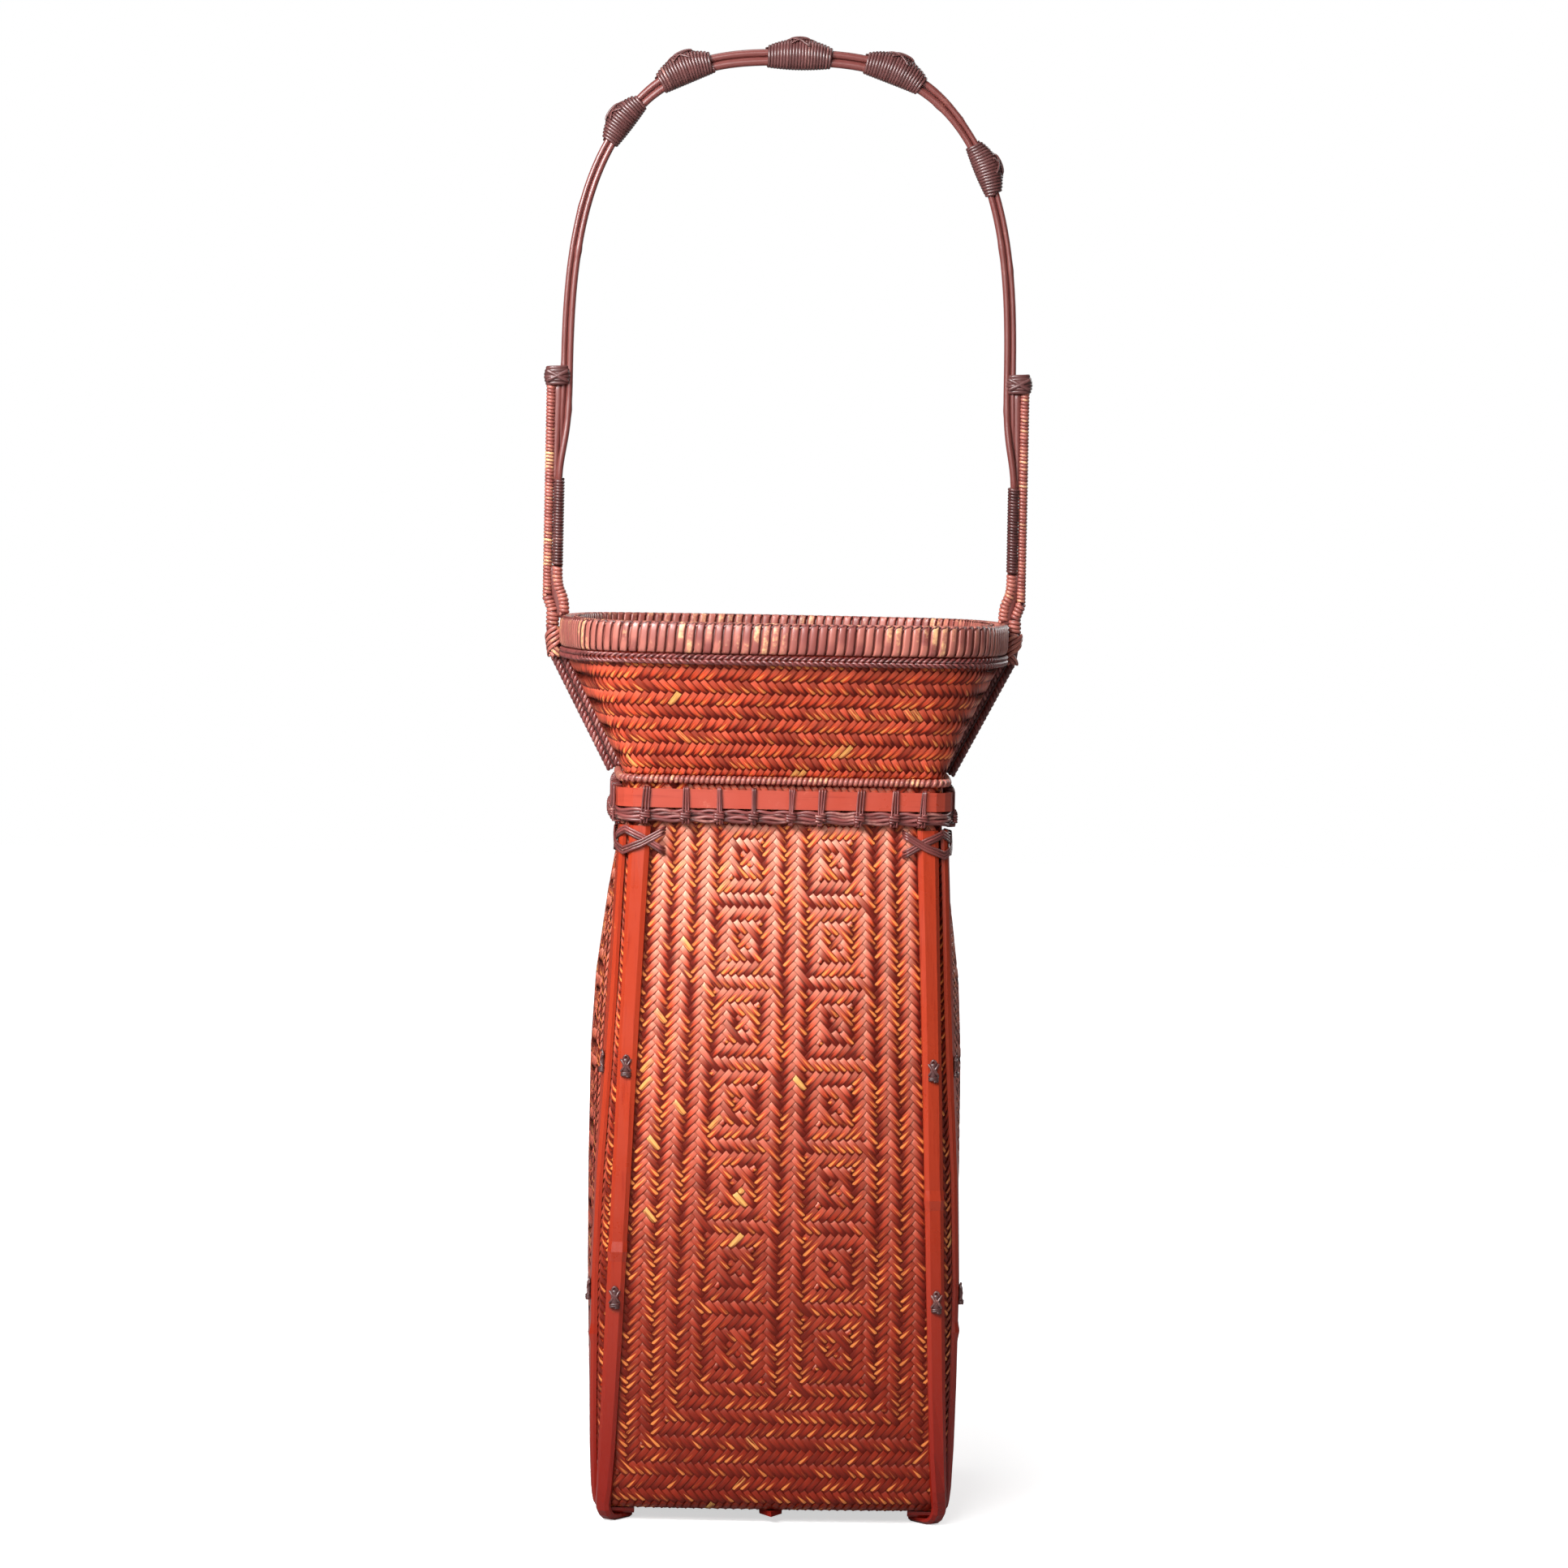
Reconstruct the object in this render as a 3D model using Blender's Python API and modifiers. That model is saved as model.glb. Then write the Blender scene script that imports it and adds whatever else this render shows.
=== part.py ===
"""Tall square ikebana basket: a plaited vessel with split-bamboo posts, a flared
mouth, a hooped neck, a two-cane handle lashed to the rim, and a loose water tube.

Metres, +Z up. The origin is on the ground under the middle of the basket, and the
front looks towards -Y. The handle's arch lies in the XZ plane.
"""
import math

import bmesh
import bpy
from mathutils import Vector

# Clearances
FIT_GAP = 0.0003
SELF_GAP = 0.0005
KNOT_SELF_GAP = 0.00075

# Base: foot hooks, then the laths, then the plaited floor
POST_THICKNESS = 0.0024
LATH_THICKNESS = 0.0021
LATH_WIDTH = 0.009
LATH_POINT = 0.008
SIDE_HOOK_BOTTOM = POST_THICKNESS + FIT_GAP
FLOOR_BOTTOM = SIDE_HOOK_BOTTOM + POST_THICKNESS + FIT_GAP

# Plaited body
BODY_WALL = 0.0024
BODY_HEIGHT = 0.2926
BODY_TOP = FLOOR_BOTTOM + BODY_HEIGHT
FLOOR_EDGE = 0.0035
NECK_HALF = 0.0635
BASE_HALF = 0.0683
BELLY_SWELL = 0.0023
BELLY_HALF = BASE_HALF + BELLY_SWELL
NECK_CORNER = 0.0070
BASE_CORNER = 0.0045
END_BOW = 0.0015
BELLY_BOW = 0.0087
# Share of the height from the floor to the posts' tops, then how far half width and bow
# have gone from their end values to the belly's; above the posts the neck is straight
BODY_LEVEL_SHARES = (
    (0.0, 0.0, 0.05),
    (0.017, 0.26, 0.12),
    (0.032, 0.44, 0.18),
    (0.091, 0.72, 0.24),
    (0.182, 0.91, 0.32),
    (0.333, 1.0, 0.47),
    (0.493, 0.82, 0.72),
    (0.654, 0.52, 1.0),
    (0.765, 0.35, 0.96),
    (0.890, 0.17, 0.53),
    (1.0, 0.0, 0.0),
)
BELLY_LEVEL_SHARE = 0.333
BODY_SIDE_STEPS = 6
BODY_CORNER_STEPS = 2

# Posts, two at each corner, set in from the half width of the neck and of the base
POST_TOP_WIDTH = 0.0085
POST_FOOT_WIDTH = 0.0066
POST_TOP_INSET = 0.0061
FRONT_POST_FOOT_INSET = 0.0014
SIDE_POST_FOOT_INSET = 0.0062
POST_EDGE_SHARE = 0.55
POST_CROWN_SHARE = 0.58
HOOK_BEND = 0.005
HOOK_LENGTH = 0.0095
HOOK_TURNS = 4
NODE_SWELL = 0.0007
NODE_HALF_HEIGHT = 0.004
# One bamboo joint on each post, as a share of the post's height
POST_NODE_SHARES = (0.39, 0.47, 0.27, 0.42, 0.44, 0.25, 0.40, 0.26)

# Ties, two on each post
TIE_LEVEL_SHARES = (0.655, 0.325)
TIE_HEIGHT = 0.0088
TIE_WIDTH = 0.0040
TIE_DEPTH = 0.0026
TIE_SEGMENTS = 8
TIE_RINGS = 4

# Neck, from the body's top down: wrapped hoop, band, flat bundle, lashing round both
LASH_STRAND = 0.0014
LASH_LOOPS = 30
LASH_ROOM = FIT_GAP + LASH_STRAND + FIT_GAP
BAND_THICKNESS = 0.0024
BAND_HEIGHT = 0.0075
BAND_GAP = 0.0006
BUNDLE_HEIGHT = 0.0050
HOOP_RADIUS = 0.0018
HOOP_HEIGHT = BODY_TOP - HOOP_RADIUS / 2.0
HOOP_OFFSET = FIT_GAP + HOOP_RADIUS
BAND_TOP = HOOP_HEIGHT - HOOP_RADIUS - LASH_ROOM
BAND_BOTTOM = BAND_TOP - BAND_HEIGHT
BUNDLE_BOTTOM = BAND_BOTTOM - BAND_GAP - BUNDLE_HEIGHT
POST_TOP = BUNDLE_BOTTOM - LASH_ROOM

# Corner lashings over the tops of the posts
CORNER_STRAND = 0.0022
CORNER_LASH_HEIGHT = 0.0085
CORNER_LASH_SPREAD = 0.0165
CORNER_LASH_POINTS = 17

# Flared mouth, up to a straight lip that stands between the rim's hoops
MOUTH_WALL = 0.0018
MOUTH_BOTTOM = BODY_TOP + FIT_GAP
MOUTH_FLARE_HEIGHT = 0.0452
MOUTH_FLARE_TOP = MOUTH_BOTTOM + MOUTH_FLARE_HEIGHT
MOUTH_HALF = 0.0812
MOUTH_CORNER = 0.024
MOUTH_BOW = 0.0075
MOUTH_LIP_SPREAD = 0.0006
MOUTH_FLARE_SHARES = (0.0, 0.5, 1.0)
MOUTH_SIDE_STEPS = 6
MOUTH_CORNER_STEPS = 4

# Rim: braid, then two hoops that hold the mouth's edge between them
BRAID_RADIUS = 0.0020
BRAID_HEIGHT = MOUTH_FLARE_TOP + FIT_GAP + BRAID_RADIUS
RIM_BOTTOM = BRAID_HEIGHT + BRAID_RADIUS + FIT_GAP
RIM_HEIGHT = 0.0125
RIM_TOP = RIM_BOTTOM + RIM_HEIGHT
RIM_OUTER_THICKNESS = 0.0029
RIM_INNER_THICKNESS = 0.0020
RIM_CROWN = 0.0009
RIM_OUTER_OFFSET = MOUTH_LIP_SPREAD + FIT_GAP
RIM_INNER_OFFSET = -MOUTH_WALL - FIT_GAP - RIM_INNER_THICKNESS
RIM_REACH = MOUTH_HALF + MOUTH_BOW + RIM_OUTER_OFFSET + RIM_OUTER_THICKNESS
MOUTH_TOP_DROP = 0.0014
MOUTH_TOP = RIM_TOP - MOUTH_TOP_DROP

# Stays: wrapped canes outside the ends of the handle, down to the rim
STAY_RADIUS = 0.0014
STAY_RIB = 0.00012
STAY_RIBS = 10
STAY_OUTSET = 0.0053
STAY_HALF_SPAN = RIM_REACH + STAY_OUTSET
STAY_FOOT_RADIUS = 0.0024
STAY_FOOT_RIBS = 2
STAY_FOOT_RISE = 0.0079
STAY_FOOT_TOP = RIM_TOP + STAY_FOOT_RISE
STAY_BOTTOM_SHARE = 0.6
STAY_BOTTOM = RIM_BOTTOM + RIM_HEIGHT * STAY_BOTTOM_SHARE
STAY_INNER_FACE = STAY_HALF_SPAN - STAY_RADIUS - STAY_RIB

# Handle: the two canes' shared line, from the wrapped legs up to the arch
HANDLE_ROOM = 0.0008
CANE_OUTER_RADIUS = 0.00145
CANE_INNER_RADIUS = 0.0017
CANE_OUTER_SHIFT = CANE_OUTER_RADIUS + FIT_GAP / 2.0
CANE_INNER_SHIFT = CANE_INNER_RADIUS + FIT_GAP / 2.0
PAIR_SHIFT = CANE_OUTER_RADIUS - CANE_INNER_RADIUS
PAIR_HALF = CANE_OUTER_RADIUS + CANE_INNER_RADIUS + FIT_GAP / 2.0
LEG_WRAP_RADIUS = 0.00168
LEG_WRAP_DEPTH_SHARE = 2.05
LEG_WRAP_RISE = 0.0204
LEG_WRAP_BOTTOM = RIM_TOP + LEG_WRAP_RISE
LEG_WRAP_LENGTH = 0.0355
LEG_WRAP_TOP = LEG_WRAP_BOTTOM + LEG_WRAP_LENGTH
LEG_HALF_SPAN = STAY_INNER_FACE - HANDLE_ROOM - LEG_WRAP_RADIUS
LEG_LENGTH = 0.0410
LEG_TWIST_SHARE = 0.82
LEG_POINTS = 6
ARCH_HALF_SPAN = STAY_INNER_FACE - HANDLE_ROOM - CANE_OUTER_SHIFT - CANE_OUTER_RADIUS
ARCH_SPRING = LEG_WRAP_TOP + LEG_LENGTH
ARCH_RISE = 0.1350
ARCH_POWER = 2.8
ARCH_POINTS = 27
ARCH_FINE_POINTS = 540

# Inner legs: the bound canes' lower ends, which pass inside the rim
INNER_LEG_RADIUS = 0.0018
INNER_LEG_POINTS = 8
INNER_LEG_BEND_SHARE = 0.35

# Wound knots on the arch, from left to right
KNOT_ACROSS_SHARES = (-0.765, -0.488, 0.018, 0.446, 0.867)
KNOT_LENGTH_SHARES = (0.80, 0.88, 1.0, 0.95, 0.84)
TOP_KNOT_LENGTH = 0.0265
KNOT_TURNS = 7
CURL_POINTS = 8
KNOT_SWELL = 0.0008
STRAND_FIT = 1.0 / math.cos(math.pi / CURL_POINTS)

# Knots that bind the stays to the canes
STAY_END = 0.005
STAY_TOP = ARCH_SPRING + STAY_END
STAY_KNOT_TURNS = 4
STAY_KNOT_STRAND = 0.0018
STAY_KNOT_SIDE_ROOM = 0.0008

# Side ribs and the lashings above them
RIB_RADIUS = 0.0033
RIB_BEAD = 0.00022
RIB_BEADS = 9
RIB_WIDTH_SHARE = 0.6
RIB_END = 0.0021
RIM_LASH_RADIUS = 0.0009
RIM_LASH_HALF_WIDTH = 0.0075
RIM_LASH_TURNS = 4

# Water tube
TUBE_RADIUS = 0.036
TUBE_WALL = 0.0042
TUBE_FLOOR = 0.006
TUBE_HEIGHT = 0.215
TUBE_CHAMFER = 0.0012
TUBE_STEPS = 28

CURVE_RESOLUTION = 2
STRAND_RESOLUTION = 1
SMOOTH_ANGLE = math.radians(40.0)
MERGE_DISTANCE = 0.00001
FRONT, RIGHT, BACK, LEFT = range(4)


def clear_scene():
    """Remove the objects that a new file starts with."""
    for thing in list(bpy.data.objects):
        bpy.data.objects.remove(thing, do_unlink=True)


def make_collection(name):
    """Return a new collection that is linked to the scene."""
    group = bpy.data.collections.new(name)
    bpy.context.scene.collection.children.link(group)
    return group


def make_material(name, colour, roughness, metallic=0.0):
    """Return a Principled material of one colour."""
    material = bpy.data.materials.new(name)
    material.use_nodes = True
    shader = material.node_tree.nodes["Principled BSDF"]
    shader.inputs["Base Color"].default_value = (*colour, 1.0)
    shader.inputs["Roughness"].default_value = roughness
    shader.inputs["Metallic"].default_value = metallic
    material.diffuse_color = (*colour, 1.0)
    return material


def blend(low, high, share):
    """Return the value a share of the way from low to high."""
    return low + (high - low) * share


def ease(share):
    """Return a share that starts and ends gently."""
    share = min(1.0, max(0.0, share))
    return share * share * (3.0 - 2.0 * share)


def read_shares(table, share, column):
    """Read one column of a table at a share, in straight lines between its rows."""
    if share <= table[0][0]:
        return table[0][column]
    for lower, upper in zip(table, table[1:]):
        if share <= upper[0]:
            step = (share - lower[0]) / (upper[0] - lower[0])
            return blend(lower[column], upper[column], step)
    return table[-1][column]


def place(name, mesh, group, material, smooth=True):
    """Make one named object of a mesh."""
    thing = bpy.data.objects.new(name, mesh)
    group.objects.link(thing)
    mesh.materials.append(material)
    if smooth:
        mesh.shade_smooth()
        mesh.set_sharp_from_angle(angle=SMOOTH_ANGLE)
    return thing


class Section:
    """One level of the basket: four bowed sides joined by round corners."""

    def __init__(self, half, bow, corner):
        self.half = half
        self.bow = bow
        self.flat = half - corner
        self.slope = math.atan(2.0 * bow / self.flat)
        self.radius = corner / (math.cos(self.slope) - math.sin(self.slope))
        self.centre = self.flat - self.radius * math.sin(self.slope)

    def grown(self, offset):
        """Return the same level, set outwards by an offset."""
        corner = self.half - self.flat + offset
        return Section(self.half + offset, self.bow, corner)

    def turn_at(self, across):
        """Return how far the front side's normal is turned, this far from its middle."""
        if across <= self.flat:
            return math.atan(math.tan(self.slope) * across / self.flat)
        return math.asin((across - self.centre) / self.radius)

    def front_point(self, turn):
        """Return the point of the front side whose normal is turned right by this angle."""
        if abs(turn) <= self.slope:
            share = math.tan(turn) / math.tan(self.slope)
            return self.flat * share, -(self.half + self.bow * (1.0 - share * share))
        side = math.copysign(1.0, turn)
        across = self.centre + self.radius * math.sin(abs(turn))
        return side * across, -(self.centre + self.radius * math.cos(turn))

    def outline(self, side_steps, corner_steps):
        """Return the level's points, counter-clockwise from the front side's left end."""
        quarter = []
        for step in range(side_steps + 1):
            share = 2.0 * step / side_steps - 1.0
            quarter.append((self.flat * share, -(self.half + self.bow * (1.0 - share * share))))
        for step in range(1, corner_steps):
            turn = blend(self.slope, math.pi / 2.0 - self.slope, step / corner_steps)
            quarter.append(self.front_point(turn))
        points = []
        for side in (FRONT, RIGHT, BACK, LEFT):
            points += [turned(point, side) for point in quarter]
        return points


def turned(point, side):
    """Turn a point of the front side to another side of the basket."""
    x, y = point
    for _ in range(side):
        x, y = -y, x
    return x, y


def body_section(height):
    """Return the body's level at a height above the ground."""
    share = (height - FLOOR_BOTTOM) / (POST_TOP - FLOOR_BOTTOM)
    end_half = BASE_HALF if share < BELLY_LEVEL_SHARE else NECK_HALF
    half = blend(end_half, BELLY_HALF, read_shares(BODY_LEVEL_SHARES, share, 1))
    bow = blend(END_BOW, BELLY_BOW, read_shares(BODY_LEVEL_SHARES, share, 2))
    corner = blend(BASE_CORNER, NECK_CORNER, min(1.0, share))
    return Section(half, bow, corner)


def body_heights():
    """List the heights of the body's levels, from the floor to its top."""
    heights = [blend(FLOOR_BOTTOM, POST_TOP, row[0]) for row in BODY_LEVEL_SHARES]
    return heights + [BODY_TOP]


def neck_section(offset):
    """Return the straight neck's level, set outwards by an offset."""
    return Section(NECK_HALF, END_BOW, NECK_CORNER).grown(offset)


def rim_section(offset):
    """Return the level of the mouth's lip, set outwards by an offset."""
    return Section(MOUTH_HALF, MOUTH_BOW, MOUTH_CORNER).grown(offset)


def mouth_section(height):
    """Return the mouth's level at a height above the ground."""
    if height >= MOUTH_FLARE_TOP:
        share = (height - MOUTH_FLARE_TOP) / (MOUTH_TOP - MOUTH_FLARE_TOP)
        return rim_section(MOUTH_LIP_SPREAD * share)
    share = (height - MOUTH_BOTTOM) / (MOUTH_FLARE_TOP - MOUTH_BOTTOM)
    half = blend(NECK_HALF, MOUTH_HALF, share)
    bow = blend(END_BOW, MOUTH_BOW, share)
    corner = blend(NECK_CORNER, MOUTH_CORNER, share)
    return Section(half, bow, corner)


def rings_to_mesh(name, rings, close_last=False, cap_ends=False, join_ends=False):
    """Bridge rings of equal count, listed so that each ring runs counter-clockwise
    when seen from the side that the next ring lies away from."""
    shape = bmesh.new()
    levels = [[shape.verts.new(point) for point in ring] for ring in rings]
    pairs = list(zip(levels, levels[1:]))
    if join_ends:
        pairs.append((levels[-1], levels[0]))
    for upper, lower in pairs:
        count = len(upper)
        for index in range(count):
            following = (index + 1) % count
            shape.faces.new((upper[index], lower[index], lower[following], upper[following]))
    if close_last or cap_ends:
        shape.faces.new(list(reversed(levels[-1])))
    if cap_ends:
        shape.faces.new(levels[0])
    if cap_ends or join_ends:
        bmesh.ops.recalc_face_normals(shape, faces=shape.faces)
    mesh = bpy.data.meshes.new(name)
    shape.to_mesh(mesh)
    shape.free()
    return mesh


def add_shell(name, levels, wall, group, material, floor):
    """Make a wall through level outlines, with its thickness on the inside."""
    mesh = rings_to_mesh(name, levels, close_last=floor)
    thing = place(name, mesh, group, material)
    shell = thing.modifiers.new("wall", "SOLIDIFY")
    shell.thickness = wall
    shell.offset = -1.0
    shell.use_even_offset = True
    return thing


def lifted(outline, height):
    """Give a flat outline its height."""
    return [(x, y, height) for x, y in outline]


def add_body(group, material):
    """Plaited body: a shell with a closed floor, open at the neck."""
    levels = []
    for height in reversed(body_heights()):
        section = body_section(height)
        if height == FLOOR_BOTTOM:
            section = Section(section.half - FLOOR_EDGE, section.bow, BASE_CORNER)
        levels.append(lifted(section.outline(BODY_SIDE_STEPS, BODY_CORNER_STEPS), height))
    return add_shell("body_weave", levels, BODY_WALL, group, material, floor=True)


def add_mouth(group, material):
    """Plaited mouth: a flared shell whose edge stands between the rim hoops."""
    heights = [blend(MOUTH_BOTTOM, MOUTH_FLARE_TOP, share) for share in MOUTH_FLARE_SHARES]
    heights.append(MOUTH_TOP)
    levels = []
    for height in reversed(heights):
        outline = mouth_section(height).outline(MOUTH_SIDE_STEPS, MOUTH_CORNER_STEPS)
        levels.append(lifted(outline, height))
    return add_shell("mouth_weave", levels, MOUTH_WALL, group, material, floor=False)


def add_flat_hoop(name, section, thickness, bottom, height, group, material):
    """Flat hoop: two outlines filled between and extruded to the hoop's height."""
    data = bpy.data.curves.new(name, "CURVE")
    data.dimensions = "2D"
    data.fill_mode = "BOTH"
    data.extrude = height / 2.0
    for offset in (thickness, 0.0):
        outline = section.grown(offset).outline(MOUTH_SIDE_STEPS, MOUTH_CORNER_STEPS)
        spline = data.splines.new("POLY")
        spline.points.add(len(outline) - 1)
        for point, (x, y) in zip(spline.points, outline):
            point.co = (x, y, 0.0, 1.0)
        spline.use_cyclic_u = True
    data.materials.append(material)
    thing = bpy.data.objects.new(name, data)
    thing.location.z = bottom + height / 2.0
    group.objects.link(thing)
    return thing


def add_rim_outer_hoop(group, material):
    """Outer rim hoop: a crowned strip bent round the mouth."""
    section = rim_section(RIM_OUTER_OFFSET)
    edge = RIM_OUTER_THICKNESS - RIM_CROWN
    profile = (
        (0.0, RIM_BOTTOM),
        (edge, RIM_BOTTOM),
        (RIM_OUTER_THICKNESS, RIM_BOTTOM + RIM_HEIGHT / 3.0),
        (RIM_OUTER_THICKNESS, RIM_BOTTOM + 2.0 * RIM_HEIGHT / 3.0),
        (edge, RIM_BOTTOM + RIM_HEIGHT),
        (0.0, RIM_BOTTOM + RIM_HEIGHT),
    )
    rings = []
    for offset, height in profile:
        outline = section.grown(offset).outline(MOUTH_SIDE_STEPS, MOUTH_CORNER_STEPS)
        rings.append(lifted(outline, height))
    mesh = rings_to_mesh("rim_outer_hoop", rings, join_ends=True)
    return place("rim_outer_hoop", mesh, group, material)


def add_tube(name, points, radius, group, material, resolution, radii=None, cyclic=False):
    """Round tube through points, with a closed cap at each free end."""
    data = bpy.data.curves.new(name, "CURVE")
    data.dimensions = "3D"
    data.bevel_depth = radius
    data.bevel_resolution = resolution
    data.use_fill_caps = not cyclic
    spline = data.splines.new("POLY")
    spline.points.add(len(points) - 1)
    for index, (point, place_at) in enumerate(zip(spline.points, points)):
        point.co = (*place_at, 1.0)
        if radii:
            point.radius = radii[index]
    spline.use_cyclic_u = cyclic
    spline.use_smooth = True
    data.materials.append(material)
    thing = bpy.data.objects.new(name, data)
    group.objects.link(thing)
    return thing


def add_hoop_tube(name, section, height, radius, group, material):
    """Round hoop that follows one level of the basket."""
    outline = section.outline(MOUTH_SIDE_STEPS, MOUTH_CORNER_STEPS)
    points = lifted(outline, height)
    return add_tube(name, points, radius, group, material, STRAND_RESOLUTION, cyclic=True)


def resample(points, count):
    """Return points at equal steps along a line through points."""
    lengths = [0.0]
    for start, end in zip(points, points[1:]):
        lengths.append(lengths[-1] + (end - start).length)
    spaced = []
    index = 0
    for step in range(count):
        target = lengths[-1] * step / (count - 1)
        while index < len(points) - 2 and lengths[index + 1] < target:
            index += 1
        share = (target - lengths[index]) / (lengths[index + 1] - lengths[index])
        spaced.append(points[index].lerp(points[index + 1], share))
    return spaced


def least_self_gap(points, diameter, skip):
    """Return the least gap between parts of a strand that are at least skip points apart."""
    least = math.inf
    for first in range(len(points)):
        for second in range(first + skip, len(points)):
            least = min(least, (points[first] - points[second]).length - diameter)
    return least


class Post:
    """One split-bamboo post: where it runs, how wide it is and where its joint swells."""

    def __init__(self, side, hand, bottom, foot_inset, node_share):
        self.side = side
        self.hand = hand
        self.bottom = bottom
        self.foot_across = BASE_HALF - foot_inset
        self.node_height = blend(bottom, POST_TOP, node_share)
        self.place = ("front", "right", "back", "left")[side] + "_" + ("b" if hand > 0 else "a")

    def frame_at(self, height):
        """Return the seat on the weave, the outward normal and the sideways direction."""
        section = body_section(height)
        share = (height - self.bottom) / (POST_TOP - self.bottom)
        across = blend(self.foot_across, NECK_HALF - POST_TOP_INSET, share)
        turn = self.hand * section.turn_at(across)
        x, y = turned(section.front_point(turn), self.side)
        out = turned((math.sin(turn), -math.cos(turn)), self.side)
        sideways = turned((math.cos(turn), math.sin(turn)), self.side)
        return Vector((x, y, height)), Vector((*out, 0.0)), Vector((*sideways, 0.0))

    def half_width(self, height):
        """Half width, which tapers to the foot."""
        share = (height - self.bottom) / (POST_TOP - self.bottom)
        return blend(POST_FOOT_WIDTH, POST_TOP_WIDTH, share) / 2.0

    def swell(self, height):
        """Extra size at the bamboo's own joint."""
        away = abs(height - self.node_height) / NODE_HALF_HEIGHT
        return NODE_SWELL * (1.0 - away) if away < 1.0 else 0.0

    def ring(self, seat, out, across, half, swell):
        """Cross-section: flat at the back, thinner at its edges, flat on its crown."""
        depth = POST_THICKNESS + swell
        wide = half + swell / 2.0
        crown = wide * POST_CROWN_SHARE
        edge = depth * POST_EDGE_SHARE
        half_profile = ((wide, 0.0), (wide, edge), (crown, depth))
        profile = [(-sideways, outward) for sideways, outward in half_profile]
        profile += reversed(half_profile)
        return [seat + across * sideways + out * outward for sideways, outward in profile]

    def rings(self):
        """Sections from the top down to the hook that lies under the base."""
        rings = []
        straight_bottom = self.bottom + POST_THICKNESS + HOOK_BEND
        levels = [straight_bottom, POST_TOP]
        levels += [height for height in body_heights() if straight_bottom < height < POST_TOP]
        for step in (-1.0, 0.0, 1.0):
            levels.append(self.node_height + step * NODE_HALF_HEIGHT)
        for height in sorted(levels, reverse=True):
            seat, out, across = self.frame_at(height)
            half = self.half_width(height)
            rings.append(self.ring(seat + out * FIT_GAP, out, across, half, self.swell(height)))
        seat, out, across = self.frame_at(straight_bottom)
        seat = seat + out * FIT_GAP
        down = Vector((0.0, 0.0, -1.0))
        centre = seat - out * HOOK_BEND
        half = self.half_width(self.bottom)
        for step in range(1, HOOK_TURNS + 1):
            angle = math.pi / 2.0 * step / HOOK_TURNS
            facing = out * math.cos(angle) + down * math.sin(angle)
            rings.append(self.ring(centre + facing * HOOK_BEND, facing, across, half, 0.0))
        end = centre + down * HOOK_BEND - out * HOOK_LENGTH
        rings.append(self.ring(end, down, across, half, 0.0))
        return rings


def make_posts():
    """List the eight posts, two to a side, in order round the basket."""
    posts = []
    shares = iter(POST_NODE_SHARES)
    for side in (FRONT, RIGHT, BACK, LEFT):
        for hand in (-1.0, 1.0):
            fore = side in (FRONT, BACK)
            bottom = 0.0 if fore else SIDE_HOOK_BOTTOM
            foot_inset = FRONT_POST_FOOT_INSET if fore else SIDE_POST_FOOT_INSET
            posts.append(Post(side, hand, bottom, foot_inset, next(shares)))
    return posts


def add_post(post, group, material):
    """Split-bamboo post with its foot hook."""
    name = "post_" + post.place
    mesh = rings_to_mesh(name, post.rings(), cap_ends=True)
    return place(name, mesh, group, material)


def add_tie(post, number, group, material):
    """Rattan tie: an oval knot drawn flat on the face of its post."""
    height = blend(post.bottom, POST_TOP, TIE_LEVEL_SHARES[number - 1])
    seat, out, across = post.frame_at(height)
    low, high = (post.frame_at(height + step * TIE_HEIGHT)[0] for step in (-1.0, 1.0))
    up = (high - low).normalized()
    across = up.cross(out).normalized()
    out = across.cross(up)
    shape = bmesh.new()
    bmesh.ops.create_uvsphere(shape, u_segments=TIE_SEGMENTS, v_segments=TIE_RINGS, radius=1.0)
    bmesh.ops.scale(shape, vec=(TIE_WIDTH / 2.0, TIE_DEPTH, TIE_HEIGHT / 2.0), verts=shape.verts)
    everything = shape.verts[:] + shape.edges[:] + shape.faces[:]
    cut = bmesh.ops.bisect_plane(
        shape, geom=everything, plane_co=(0.0, 0.0, 0.0), plane_no=(0.0, 1.0, 0.0), clear_outer=True
    )
    edges = [piece for piece in cut["geom_cut"] if isinstance(piece, bmesh.types.BMEdge)]
    bmesh.ops.holes_fill(shape, edges=edges, sides=0)
    bmesh.ops.recalc_face_normals(shape, faces=shape.faces)
    origin = seat + out * (FIT_GAP + POST_THICKNESS + FIT_GAP)
    for corner in shape.verts:
        corner.co = origin + across * corner.co.x - out * corner.co.y + up * corner.co.z
    name = "tie_" + post.place + "_" + str(number)
    mesh = bpy.data.meshes.new(name)
    shape.to_mesh(mesh)
    shape.free()
    return place(name, mesh, group, material)


def add_lath(name, bottom, side, group, material):
    """Pointed bamboo lath that crosses under the floor."""
    reach = body_section(FLOOR_BOTTOM).half + body_section(FLOOR_BOTTOM).bow
    half = LATH_WIDTH / 2.0
    outline = ((-reach, 0.0), (LATH_POINT - reach, -half), (reach - LATH_POINT, -half), (reach, 0.0))
    outline += ((reach - LATH_POINT, half), (LATH_POINT - reach, half))
    data = bpy.data.curves.new(name, "CURVE")
    data.dimensions = "2D"
    data.fill_mode = "BOTH"
    data.extrude = LATH_THICKNESS / 2.0
    spline = data.splines.new("POLY")
    spline.points.add(len(outline) - 1)
    for point, place_at in zip(spline.points, outline):
        x, y = turned(place_at, side)
        point.co = (x, y, 0.0, 1.0)
    spline.use_cyclic_u = True
    data.materials.append(material)
    thing = bpy.data.objects.new(name, data)
    thing.location.z = bottom + LATH_THICKNESS / 2.0
    group.objects.link(thing)
    return thing


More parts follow.
